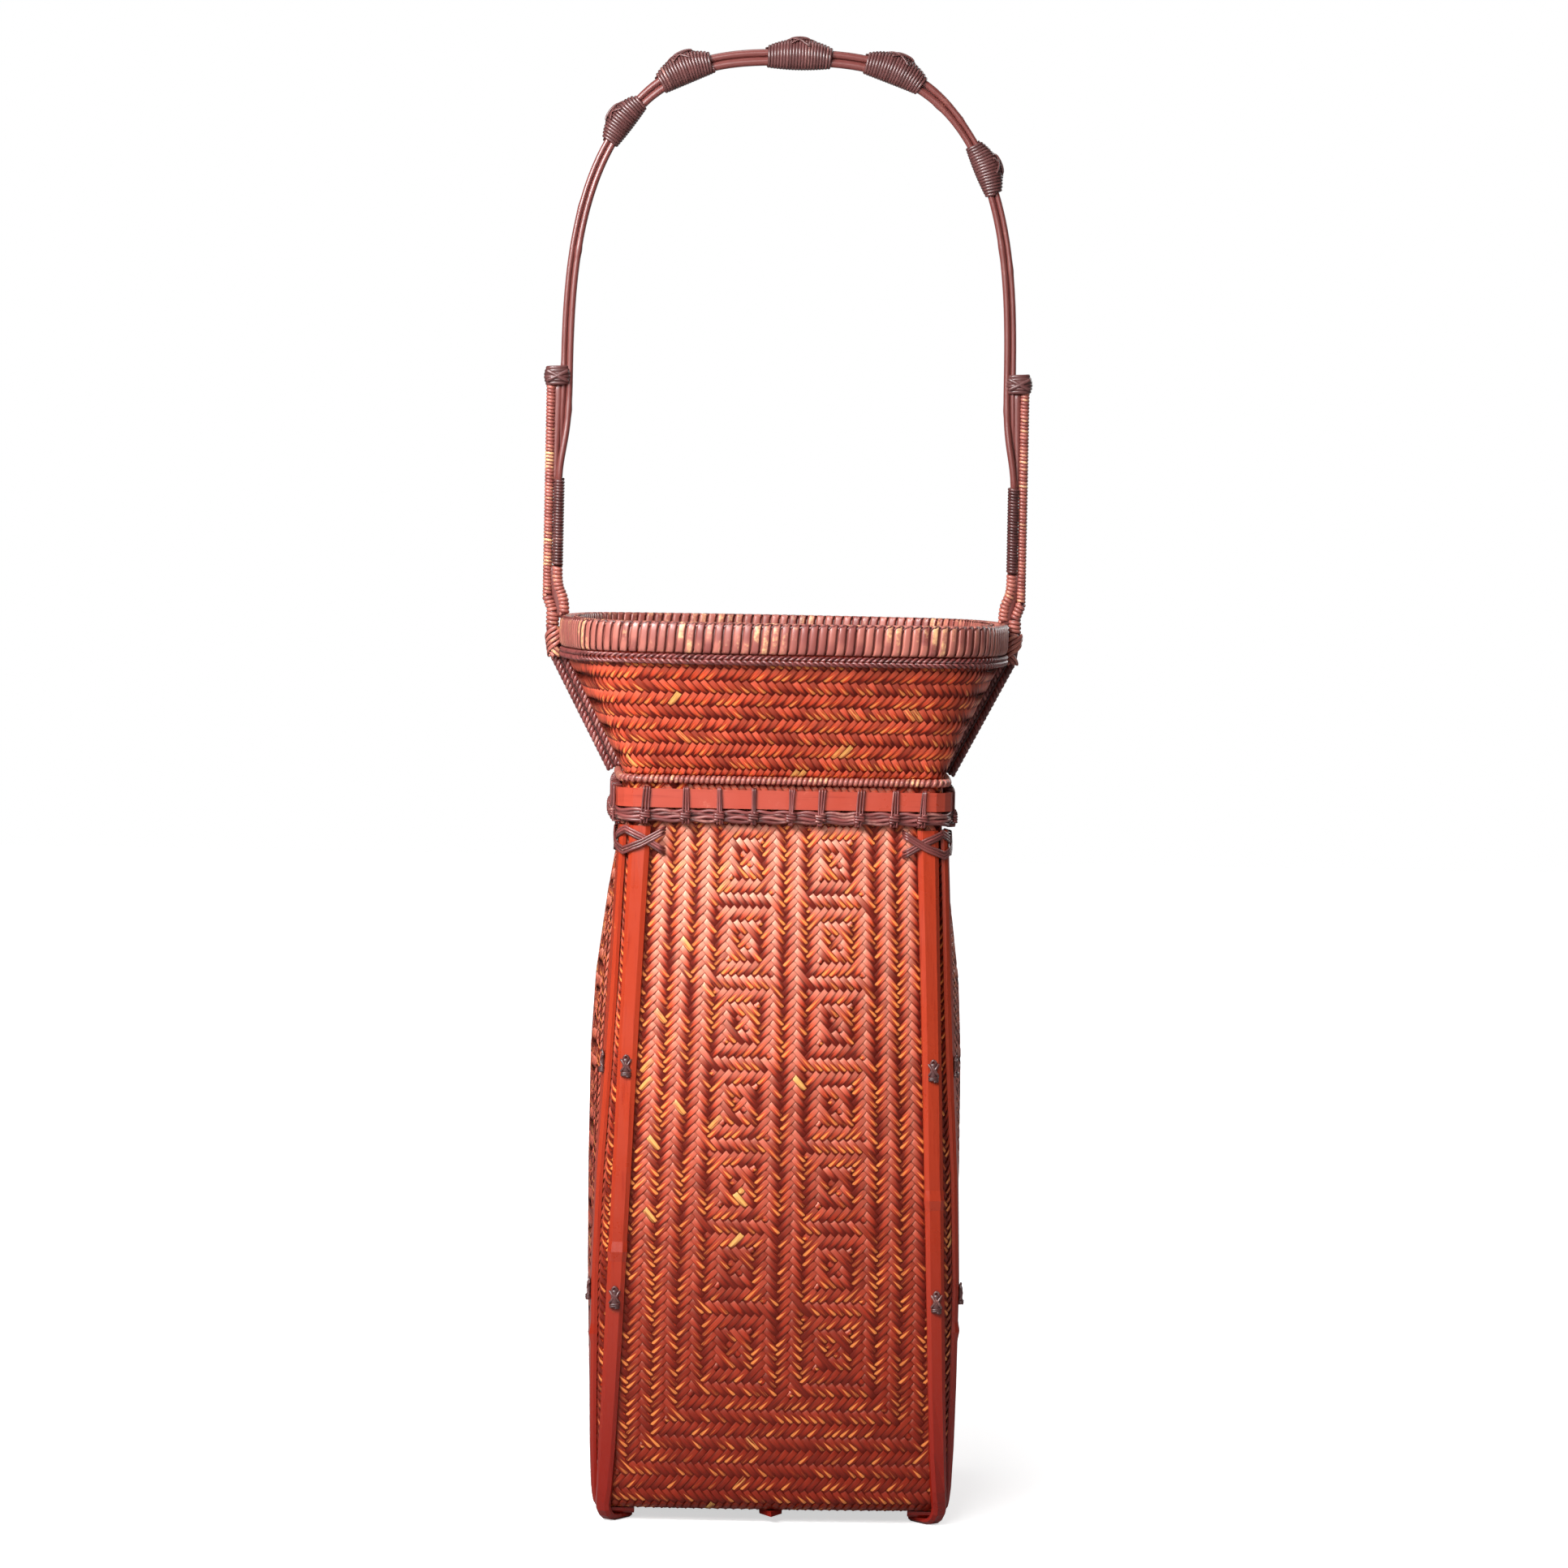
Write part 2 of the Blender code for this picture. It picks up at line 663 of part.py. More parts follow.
def level_walk(section, steps):
    """Return points and outward normals at equal steps round one level."""
    outline = section.outline(MOUTH_SIDE_STEPS, MOUTH_CORNER_STEPS)
    closed = [Vector((x, y, 0.0)) for x, y in outline]
    closed.append(closed[0])
    spaced = resample(closed, steps + 1)[:-1]
    walk = []
    for index, point in enumerate(spaced):
        along = (spaced[(index + 1) % steps] - spaced[index - 1]).normalized()
        walk.append((point, Vector((along.y, -along.x, 0.0))))
    return walk


def add_neck_lashing(group, material):
    """Neck lashing: one strand wound round the bundle and the band, all round the neck."""
    strand = LASH_STRAND / 2.0
    out = BAND_THICKNESS / 2.0 + FIT_GAP + strand
    low = BUNDLE_BOTTOM - FIT_GAP - strand
    high = BAND_TOP + FIT_GAP + strand
    # Each loop: down the outside, in under the bundle, up the inside, back over the band
    shoulder = strand
    loop = (
        (out, high - shoulder),
        (out, low + shoulder),
        (out - shoulder, low),
        (shoulder - out, low),
        (-out, low + shoulder),
        (-out, high - shoulder),
        (shoulder - out, high),
        (out - shoulder, high),
    )
    count = LASH_LOOPS * CURL_POINTS
    walk = level_walk(neck_section(LASH_ROOM + BAND_THICKNESS / 2.0), count)
    points = []
    for index, (place_at, outward) in enumerate(walk[: count - CURL_POINTS // 2]):
        offset, height = loop[index % CURL_POINTS]
        points.append(place_at + outward * offset + Vector((0.0, 0.0, height)))
    print("neck lashing, least gap to itself:", least_self_gap(points, LASH_STRAND, CURL_POINTS - 2))
    return add_tube("neck_lashing", points, strand, group, material, STRAND_RESOLUTION)


def add_corner_lashing(corner, group, material):
    """Corner lashing: one strand that zigzags over the tops of both posts."""
    strand = CORNER_STRAND / 2.0
    middle = POST_TOP - FIT_GAP - strand - CORNER_LASH_HEIGHT / 2.0
    section = body_section(middle).grown(FIT_GAP + POST_THICKNESS + FIT_GAP + strand)
    points = []
    for step in range(CORNER_LASH_POINTS):
        share = 2.0 * step / (CORNER_LASH_POINTS - 1) - 1.0
        x, y = corner_point(section, share * CORNER_LASH_SPREAD)
        x, y = turned((x, y), corner)
        swing = math.cos(share * 2.0 * math.pi) * CORNER_LASH_HEIGHT / 2.0
        points.append(Vector((x, y, middle - swing)))
    name = "corner_lashing_" + ("front_right", "back_right", "back_left", "front_left")[corner]
    return add_tube(name, points, strand, group, material, STRAND_RESOLUTION)


def corner_point(section, along):
    """Return the point this far along the level from its front right corner."""
    arc = section.radius * (math.pi / 4.0 - section.slope)
    if abs(along) <= arc:
        turn = math.pi / 4.0 + along / section.radius
        return section.front_point(turn)
    beyond = abs(along) - arc
    share = 1.0 - beyond / section.flat
    x, y = section.flat * share, -(section.half + section.bow * (1.0 - share * share))
    return (x, y) if along < 0.0 else (-y, -x)


def arch_line():
    """Return points and normals of the arch's centre line, left spring to right spring."""
    fine = []
    for step in range(ARCH_FINE_POINTS + 1):
        angle = math.pi * step / ARCH_FINE_POINTS
        across = math.copysign(abs(math.cos(angle)) ** (2.0 / ARCH_POWER), math.cos(angle))
        rise = abs(math.sin(angle)) ** (2.0 / ARCH_POWER)
        fine.append(Vector((-ARCH_HALF_SPAN * across, 0.0, ARCH_SPRING + ARCH_RISE * rise)))
    return fine


def with_normals(points):
    """Pair each point of a line in the XZ plane with its normal on the outer side."""
    paired = []
    last = len(points) - 1
    for index, point in enumerate(points):
        along = (points[min(index + 1, last)] - points[max(index - 1, 0)]).normalized()
        paired.append((point, Vector((-along.z, 0.0, along.x))))
    return paired


def handle_line():
    """Return the whole centre line of the canes, with the two legs below the arch."""
    left = []
    for step in range(LEG_POINTS):
        share = step / LEG_POINTS
        across = blend(LEG_HALF_SPAN, ARCH_HALF_SPAN, ease(share))
        left.append(Vector((-across, 0.0, blend(LEG_WRAP_TOP + FIT_GAP, ARCH_SPRING, share))))
    right = [Vector((-point.x, 0.0, point.z)) for point in reversed(left)]
    return with_normals(left + resample(arch_line(), ARCH_POINTS) + right)


def add_cane(name, shift, radius, depth_side, group, material):
    """Handle cane: side by side with its twin on the arch, one behind the other below."""
    points = []
    for place_at, outward in handle_line():
        risen = (place_at.z - LEG_WRAP_TOP) / (LEG_LENGTH * LEG_TWIST_SHARE)
        twist = math.pi / 2.0 * (1.0 - ease(risen))
        depth = Vector((0.0, depth_side * abs(shift) * math.sin(twist), 0.0))
        points.append(place_at + outward * shift * math.cos(twist) + depth)
    return add_tube(name, points, radius, group, material, CURVE_RESOLUTION)


def wound_points(line, turns, half_out, half_deep, shift):
    """Return the points of a strand wound round a line, with its half sizes as functions."""
    count = turns * CURL_POINTS
    points = []
    spaced = resample(line, count + 1)
    for index, (place_at, outward) in enumerate(with_normals(spaced)):
        share = index / count
        angle = 2.0 * math.pi * index / CURL_POINTS
        out = shift + half_out(share) * math.cos(angle)
        deep = half_deep(share) * math.sin(angle)
        points.append(place_at + outward * out + Vector((0.0, deep, 0.0)))
    return points


def add_handle_knot(number, group, material):
    """Wound knot on the arch, thickest at its middle."""
    line = arch_line()
    centre_x = ARCH_HALF_SPAN * KNOT_ACROSS_SHARES[number]
    length = TOP_KNOT_LENGTH * KNOT_LENGTH_SHARES[number]
    nearest = min(range(len(line)), key=lambda index: abs(line[index].x - centre_x))
    first = last = nearest
    while (line[last] - line[nearest]).length < length / 2.0:
        last += 1
    while (line[first] - line[nearest]).length < length / 2.0:
        first -= 1
    strand = (length / KNOT_TURNS - KNOT_SELF_GAP) / 2.0
    room = FIT_GAP + strand

    def half_out(share):
        return (PAIR_HALF + room) * STRAND_FIT + KNOT_SWELL * math.sin(math.pi * share)

    def half_deep(share):
        return (CANE_INNER_RADIUS + room) * STRAND_FIT + KNOT_SWELL * math.sin(math.pi * share)

    points = wound_points(line[first:last + 1], KNOT_TURNS, half_out, half_deep, PAIR_SHIFT)
    name = "handle_knot_" + str(number + 1)
    print(name, "least gap to itself:", least_self_gap(points, 2.0 * strand, CURL_POINTS - 2))
    return add_tube(name, points, strand, group, material, STRAND_RESOLUTION)


def add_stay_knot(name, hand, group, material):
    """Stay knot: turns round both canes and the top of the stay."""
    inner = ARCH_HALF_SPAN - CANE_INNER_SHIFT - CANE_INNER_RADIUS
    outer = STAY_HALF_SPAN + STAY_RADIUS + STAY_RIB
    strand = STAY_KNOT_STRAND / 2.0
    half = STAY_KNOT_TURNS * (STAY_KNOT_STRAND + SELF_GAP) / 2.0
    middle = hand * (inner + outer) / 2.0
    line = [Vector((middle, 0.0, ARCH_SPRING + step * half)) for step in (-1.0, 1.0)]
    room = FIT_GAP + strand
    across = ((outer - inner) / 2.0 + room) * STRAND_FIT
    deep = (CANE_INNER_RADIUS + room) * STRAND_FIT + STAY_KNOT_SIDE_ROOM
    points = wound_points(line, STAY_KNOT_TURNS, lambda share: across, lambda share: deep, 0.0)
    print(name, "least gap to itself:", least_self_gap(points, STAY_KNOT_STRAND, CURL_POINTS - 2))
    return add_tube(name, points, strand, group, material, STRAND_RESOLUTION)


def ribbed(start, end, ribs, radius, rib):
    """Return points and radii of a straight ribbed stretch, two points to a rib."""
    points = []
    radii = []
    count = 2 * ribs
    for step in range(count + 1):
        points.append(start.lerp(end, step / count))
        radii.append(radius + (rib if step % 2 else -rib))
    return points, radii


def add_stay(name, hand, group, material):
    """Stay: a cane wrapped all along, with wider turns where it stands against the rim."""
    foot_out = RIM_REACH + FIT_GAP + STAY_FOOT_RADIUS + STAY_RIB
    top = Vector((hand * STAY_HALF_SPAN, 0.0, STAY_TOP))
    bend = Vector((hand * STAY_HALF_SPAN, 0.0, STAY_FOOT_TOP))
    foot = Vector((hand * foot_out, 0.0, (STAY_FOOT_TOP + STAY_BOTTOM) / 2.0))
    bottom = Vector((hand * foot_out, 0.0, STAY_BOTTOM))
    points, radii = ribbed(top, bend, STAY_RIBS, STAY_RADIUS, STAY_RIB)
    foot_points, foot_radii = ribbed(foot, bottom, STAY_FOOT_RIBS, STAY_FOOT_RADIUS, STAY_RIB)
    sizes = [size / STAY_RADIUS for size in radii + foot_radii]
    return add_tube(name, points + foot_points, STAY_RADIUS, group, material, CURVE_RESOLUTION, sizes)


def add_leg_wrap(name, hand, group, material):
    """Leg wrap: the turns that bind the two canes, one behind the other, into one leg."""
    top = Vector((hand * LEG_HALF_SPAN, 0.0, LEG_WRAP_TOP))
    bottom = Vector((hand * LEG_HALF_SPAN, 0.0, LEG_WRAP_BOTTOM))
    thing = add_tube(name, [top, bottom], LEG_WRAP_RADIUS, group, material, CURVE_RESOLUTION)
    thing.scale.y = LEG_WRAP_DEPTH_SHARE
    return thing


def add_inner_leg(name, hand, group, material):
    """Inner leg: the bound canes' lower end, which stands on the rim beside the stay."""
    beside = RIM_REACH - INNER_LEG_RADIUS
    above = RIM_TOP + FIT_GAP
    top = LEG_WRAP_BOTTOM - FIT_GAP
    start = top - INNER_LEG_RADIUS
    corners = (
        Vector((LEG_HALF_SPAN, 0.0, start)),
        Vector((LEG_HALF_SPAN, 0.0, blend(above, start, INNER_LEG_BEND_SHARE))),
        Vector((beside, 0.0, blend(start, above, INNER_LEG_BEND_SHARE))),
        Vector((beside, 0.0, above)),
    )
    points = [Vector((hand * LEG_HALF_SPAN, 0.0, top))]
    for point in spline_points(corners, INNER_LEG_POINTS):
        points.append(Vector((hand * point.x, 0.0, point.z)))
    return add_tube(name, points, INNER_LEG_RADIUS, group, material, CURVE_RESOLUTION)


def spline_points(controls, count):
    """Return points of a Bezier curve of any number of controls."""
    points = []
    for step in range(count):
        share = step / (count - 1)
        row = list(controls)
        while len(row) > 1:
            row = [start.lerp(end, share) for start, end in zip(row, row[1:])]
        points.append(row[0])
    return points


def add_side_rib(name, hand, group, material):
    """Side rib: a beaded, wrapped rib down the middle of the mouth's side."""
    low = HOOP_HEIGHT + HOOP_RADIUS + RIB_END
    high = BRAID_HEIGHT - BRAID_RADIUS - RIB_END
    ends = []
    radius = RIB_RADIUS + RIB_BEAD
    lower, upper = mouth_section(low), mouth_section(high)
    lean = math.atan2(upper.half + upper.bow - lower.half - lower.bow, high - low)
    for section, height in ((lower, low), (upper, high)):
        across = section.half + section.bow + (FIT_GAP + radius) / math.cos(lean)
        ends.append(Vector((hand * across, 0.0, height)))
    points, radii = ribbed(ends[1], ends[0], RIB_BEADS, RIB_RADIUS, RIB_BEAD)
    sizes = [size / RIB_RADIUS for size in radii]
    thing = add_tube(name, points, RIB_RADIUS, group, material, CURVE_RESOLUTION, sizes)
    thing.scale.y = RIB_WIDTH_SHARE
    return thing


def add_rim_lashing(name, hand, group, material):
    """Rim lashing: a strand crossing to and fro over the outer hoop under the stay."""
    low = RIM_BOTTOM - FIT_GAP
    high = STAY_BOTTOM - FIT_GAP - 2.0 * RIM_LASH_RADIUS
    across = RIM_REACH + FIT_GAP + RIM_LASH_RADIUS
    points = []
    count = 2 * RIM_LASH_TURNS
    for step in range(count + 1):
        share = 2.0 * step / count - 1.0
        height = blend(low, high, (1.0 + math.cos(math.pi * step / 2.0)) / 2.0)
        points.append(Vector((hand * across, share * RIM_LASH_HALF_WIDTH, height)))
    return add_tube(name, points, RIM_LASH_RADIUS, group, material, STRAND_RESOLUTION)


def add_water_tube(group, material):
    """Otoshi: a bamboo tube cut below one of its own joints, which closes its bottom."""
    outer = TUBE_RADIUS
    inner = TUBE_RADIUS - TUBE_WALL
    profile = (
        (0.0, TUBE_FLOOR),
        (inner, TUBE_FLOOR),
        (inner, TUBE_HEIGHT - TUBE_CHAMFER),
        (inner + TUBE_CHAMFER, TUBE_HEIGHT),
        (outer - TUBE_CHAMFER, TUBE_HEIGHT),
        (outer, TUBE_HEIGHT - TUBE_CHAMFER),
        (outer, TUBE_CHAMFER),
        (outer - TUBE_CHAMFER, 0.0),
        (0.0, 0.0),
    )
    shape = bmesh.new()
    corners = [shape.verts.new((x, 0.0, z)) for x, z in profile]
    for start, end in zip(corners, corners[1:]):
        shape.edges.new((start, end))
    mesh = bpy.data.meshes.new("otoshi")
    shape.to_mesh(mesh)
    shape.free()
    thing = place("otoshi", mesh, group, material, smooth=False)
    thing.location.z = FLOOR_BOTTOM + BODY_WALL + FIT_GAP
    screw = thing.modifiers.new("turn", "SCREW")
    screw.steps = TUBE_STEPS
    screw.render_steps = TUBE_STEPS
    screw.use_merge_vertices = True
    screw.merge_threshold = MERGE_DISTANCE
    return thing


def build():
    """Make every piece of the basket."""
    clear_scene()
    group = make_collection("ikebana_basket")
    weave = make_material("plaited_bamboo", (0.36, 0.065, 0.030), 0.45)
    split = make_material("split_bamboo", (0.50, 0.055, 0.018), 0.35)
    rattan = make_material("dark_rattan", (0.060, 0.022, 0.022), 0.45)
    cane = make_material("handle_cane", (0.30, 0.085, 0.070), 0.40)
    wrap = make_material("wrapped_rattan", (0.28, 0.060, 0.045), 0.45)
    tube = make_material("tube_bamboo", (0.42, 0.24, 0.10), 0.55)

    add_body(group, weave)
    add_mouth(group, weave)
    for post in make_posts():
        add_post(post, group, split)
        add_tie(post, 1, group, rattan)
        add_tie(post, 2, group, rattan)
    add_lath("lath_front_back", FLOOR_BOTTOM - FIT_GAP - LATH_THICKNESS, RIGHT, group, split)
    add_lath("lath_crosswise", FLOOR_BOTTOM - 2.0 * (FIT_GAP + LATH_THICKNESS), FRONT, group, split)
    for corner in (FRONT, RIGHT, BACK, LEFT):
        add_corner_lashing(corner, group, rattan)

    band = neck_section(LASH_ROOM)
    add_flat_hoop("neck_bundle", band, BAND_THICKNESS, BUNDLE_BOTTOM, BUNDLE_HEIGHT, group, rattan)
    add_flat_hoop("neck_band", band, BAND_THICKNESS, BAND_BOTTOM, BAND_HEIGHT, group, split)
    add_neck_lashing(group, rattan)
    hoop = neck_section(HOOP_OFFSET)
    add_hoop_tube("neck_hoop", hoop, HOOP_HEIGHT, HOOP_RADIUS, group, rattan)

    braid = rim_section(RIM_OUTER_OFFSET + BRAID_RADIUS)
    add_hoop_tube("rim_braid", braid, BRAID_HEIGHT, BRAID_RADIUS, group, wrap)
    add_rim_outer_hoop(group, wrap)
    inside = rim_section(RIM_INNER_OFFSET)
    add_flat_hoop("rim_inner_hoop", inside, RIM_INNER_THICKNESS, RIM_BOTTOM, RIM_HEIGHT, group, wrap)

    add_cane("handle_outer_cane", CANE_OUTER_SHIFT, CANE_OUTER_RADIUS, 1.0, group, cane)
    add_cane("handle_inner_cane", -CANE_INNER_SHIFT, CANE_INNER_RADIUS, -1.0, group, cane)
    for number in range(len(KNOT_ACROSS_SHARES)):
        add_handle_knot(number, group, rattan)
    for word, hand in (("left", -1.0), ("right", 1.0)):
        add_stay("stay_" + word, hand, group, wrap)
        add_stay_knot("stay_knot_" + word, hand, group, rattan)
        add_leg_wrap("leg_wrap_" + word, hand, group, rattan)
        add_inner_leg("inner_leg_" + word, hand, group, wrap)
        add_side_rib("side_rib_" + word, hand, group, rattan)
        add_rim_lashing("rim_lashing_" + word, hand, group, cane)
    add_water_tube(group, tube)


build()
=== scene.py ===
"""Looks of the ikebana basket, laid out as a Blender add-on and run as a script.

Metres, +Z up, front towards -Y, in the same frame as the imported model.
"""
import math

import bpy
import numpy as np
from bpy.props import FloatProperty, FloatVectorProperty, PointerProperty
from mathutils import Matrix, Vector


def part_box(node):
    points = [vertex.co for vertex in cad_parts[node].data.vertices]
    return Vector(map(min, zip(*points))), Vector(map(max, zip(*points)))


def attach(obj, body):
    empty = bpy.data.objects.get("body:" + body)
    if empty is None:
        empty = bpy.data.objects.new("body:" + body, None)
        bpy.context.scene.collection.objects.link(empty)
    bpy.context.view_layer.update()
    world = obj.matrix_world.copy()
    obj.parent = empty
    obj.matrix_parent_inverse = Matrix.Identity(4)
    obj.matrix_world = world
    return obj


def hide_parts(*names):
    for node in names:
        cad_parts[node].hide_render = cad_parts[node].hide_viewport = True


bl_info = {
    "name": "Ikebana Basket",
    "version": (1, 0, 0),
    "blender": (4, 5, 0),
    "location": "View3D > Sidebar > Basket",
    "description": "Plaits, winds and stages a bamboo flower basket around its packed model",
    "category": "Object",
}

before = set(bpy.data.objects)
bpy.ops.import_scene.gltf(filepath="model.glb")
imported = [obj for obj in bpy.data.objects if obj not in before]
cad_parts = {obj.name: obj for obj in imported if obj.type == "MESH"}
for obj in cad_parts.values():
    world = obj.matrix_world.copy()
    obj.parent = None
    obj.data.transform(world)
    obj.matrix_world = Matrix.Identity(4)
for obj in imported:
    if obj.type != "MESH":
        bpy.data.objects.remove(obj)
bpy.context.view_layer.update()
RNG = np.random.default_rng(7)

# Levels of the body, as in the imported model: heights, half widths, bows, corners
FIT_GAP = 0.0003
FLOOR_BOTTOM = 0.0054
BODY_TOP = 0.2980
POST_TOP = 0.2782
NECK_HALF = 0.0635
BELLY_HALF = 0.0706
BASE_HALF = 0.0683
NECK_CORNER = 0.0070
BASE_CORNER = 0.0045
END_BOW = 0.0015
BELLY_BOW = 0.0087
BELLY_LEVEL = 0.333
LEVELS = np.array((0.0, 0.017, 0.032, 0.091, 0.182, 0.333, 0.493, 0.654, 0.765, 0.890, 1.0))
HALF_SHARES = np.array((0.0, 0.26, 0.44, 0.72, 0.91, 1.0, 0.82, 0.52, 0.35, 0.17, 0.0))
BOW_SHARES = np.array((0.05, 0.12, 0.18, 0.24, 0.32, 0.47, 0.72, 1.0, 0.96, 0.53, 0.0))

# Levels of the mouth
MOUTH_BOTTOM = 0.2983
MOUTH_FLARE_TOP = 0.3435
MOUTH_TOP = 0.3592
MOUTH_HALF = 0.0812
MOUTH_CORNER = 0.024
MOUTH_BOW = 0.0075
RIM_BOTTOM = 0.3481
RIM_TOP = 0.3606


class Level:
    """One level of the basket: four bowed sides joined by round corners."""

    def __init__(self, half, bow, corner, samples=48):
        self.half = half
        self.bow = bow
        self.flat = half - corner
        self.slope = math.atan(2.0 * bow / self.flat)
        self.radius = corner / (math.cos(self.slope) - math.sin(self.slope))
        self.centre = self.flat - self.radius * math.sin(self.slope)
        # Half of the front side, from its middle to the corner's middle
        share = np.linspace(0.0, 1.0, samples)
        side = np.stack((self.flat * share, -(half + bow * (1.0 - share**2))), 1)
        turns = np.linspace(self.slope, math.pi / 4.0, samples // 3)[1:]
        corner_x = self.centre + self.radius * np.sin(turns)
        corner_y = -(self.centre + self.radius * np.cos(turns))
        self.path = np.concatenate((side, np.stack((corner_x, corner_y), 1)))
        steps = np.linalg.norm(np.diff(self.path, axis=0), axis=1)
        self.lengths = np.concatenate(((0.0,), np.cumsum(steps)))
        self.half_length = self.lengths[-1]

    def at(self, turns):
        """Points for places round the level, where 0 to 1 is the front, 1 to 2 the right."""
        turns = np.asarray(turns, float) % 4.0
        side = np.floor(turns).astype(int)
        along = (turns - side) * 2.0 - 1.0
        reach = np.abs(along) * self.half_length
        x = np.interp(reach, self.lengths, self.path[:, 0]) * np.sign(along)
        y = np.interp(reach, self.lengths, self.path[:, 1])
        points = np.stack((x, y), -1)
        for quarter in (1, 2, 3):
            mask = side == quarter
            for _ in range(quarter):
                points[mask] = np.stack((-points[mask][:, 1], points[mask][:, 0]), -1)
        return points


def body_level(height):
    """The body's level at a height."""
    share = (height - FLOOR_BOTTOM) / (POST_TOP - FLOOR_BOTTOM)
    end = BASE_HALF if share < BELLY_LEVEL else NECK_HALF
    half = end + (BELLY_HALF - end) * np.interp(share, LEVELS, HALF_SHARES)
    bow = END_BOW + (BELLY_BOW - END_BOW) * np.interp(share, LEVELS, BOW_SHARES)
    corner = BASE_CORNER + (NECK_CORNER - BASE_CORNER) * min(1.0, share)
    return Level(half, bow, corner)


def mouth_level(height):
    """The mouth's level at a height."""
    share = min(1.0, (height - MOUTH_BOTTOM) / (MOUTH_FLARE_TOP - MOUTH_BOTTOM))
    half = NECK_HALF + (MOUTH_HALF - NECK_HALF) * share
    bow = END_BOW + (MOUTH_BOW - END_BOW) * share
    corner = NECK_CORNER + (MOUTH_CORNER - NECK_CORNER) * share
    return Level(half, bow, corner)


class Builder:
    """Collects strips and strands, and makes one mesh of them."""

    def __init__(self):
        self.points, self.faces, self.marks, self.maps = [], [], [], []
        self.count = 0

    def add(self, points, faces, marks, maps):
        """Add one strip: its points, quads, marks (four numbers a point) and own flat map."""
        self.points.append(points)
        self.faces.append(faces + self.count)
        self.marks.append(marks)
        self.maps.append(maps)
        self.count += len(points)

    def add_many(self, points, faces, marks, maps):
        """Add strips of one layout at once: each array has a strip as its first axis."""
        for index in range(len(points)):
            self.add(points[index], faces, marks[index], maps)

    def make(self, name, material, body="basket", slot=None, nodes=()):
        """Make the mesh object, and let it ride on a body."""
        points = np.concatenate(self.points).astype(np.float32)
        faces = np.concatenate(self.faces).astype(np.int32)
        mesh = bpy.data.meshes.new(name)
        mesh.vertices.add(len(points))
        mesh.vertices.foreach_set("co", points.ravel())
        mesh.loops.add(faces.size)
        mesh.loops.foreach_set("vertex_index", faces.ravel())
        mesh.polygons.add(len(faces))
        mesh.polygons.foreach_set("loop_start", np.arange(0, faces.size, 4, dtype=np.int32))
        mesh.update(calc_edges=True)
        mesh.shade_smooth()
        marks = mesh.attributes.new("mark", "FLOAT_COLOR", "POINT")
        marks.data.foreach_set("color", np.concatenate(self.marks).astype(np.float32).ravel())
        across = math.ceil(math.sqrt(len(self.maps)))
        cells = []
        for index, flat in enumerate(self.maps):
            corner = np.array((index % across, index // across))
            cells.append((corner + 0.06 + 0.88 * flat) / across)
        layer = mesh.uv_layers.new(name="OFBake")
        layer.data.foreach_set("uv", np.concatenate(cells).astype(np.float32)[faces.ravel()].ravel())
        return dress(name, mesh, material, body, nodes)


def dress(name, mesh, material, body="basket", nodes=()):
    """Make an object of a mesh, and let it ride on a body in place of CAD nodes."""
    thing = bpy.data.objects.new(name, mesh)
    bpy.context.scene.collection.objects.link(thing)
    mesh.materials.clear()
    mesh.materials.append(material)
    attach(thing, body)
    if nodes:
        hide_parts(*nodes)
    return thing


def grid_faces(rows, columns, closed_rows=False, closed_columns=False):
    """Quads of a grid of points, listed row by row."""
    row = np.arange(rows if closed_rows else rows - 1)
    column = np.arange(columns if closed_columns else columns - 1)
    row, column = np.meshgrid(row, column, indexing="ij")
    low, high = row, (row + 1) % rows
    left, right = column, (column + 1) % columns
    quads = (low * columns + left, high * columns + left, high * columns + right, low * columns + right)
    return np.stack([quad.ravel() for quad in quads], 1)


def unit(vectors):
    """Vectors of length one."""
    lengths = np.linalg.norm(vectors, axis=-1, keepdims=True)
    return vectors / np.maximum(lengths, 1e-12)


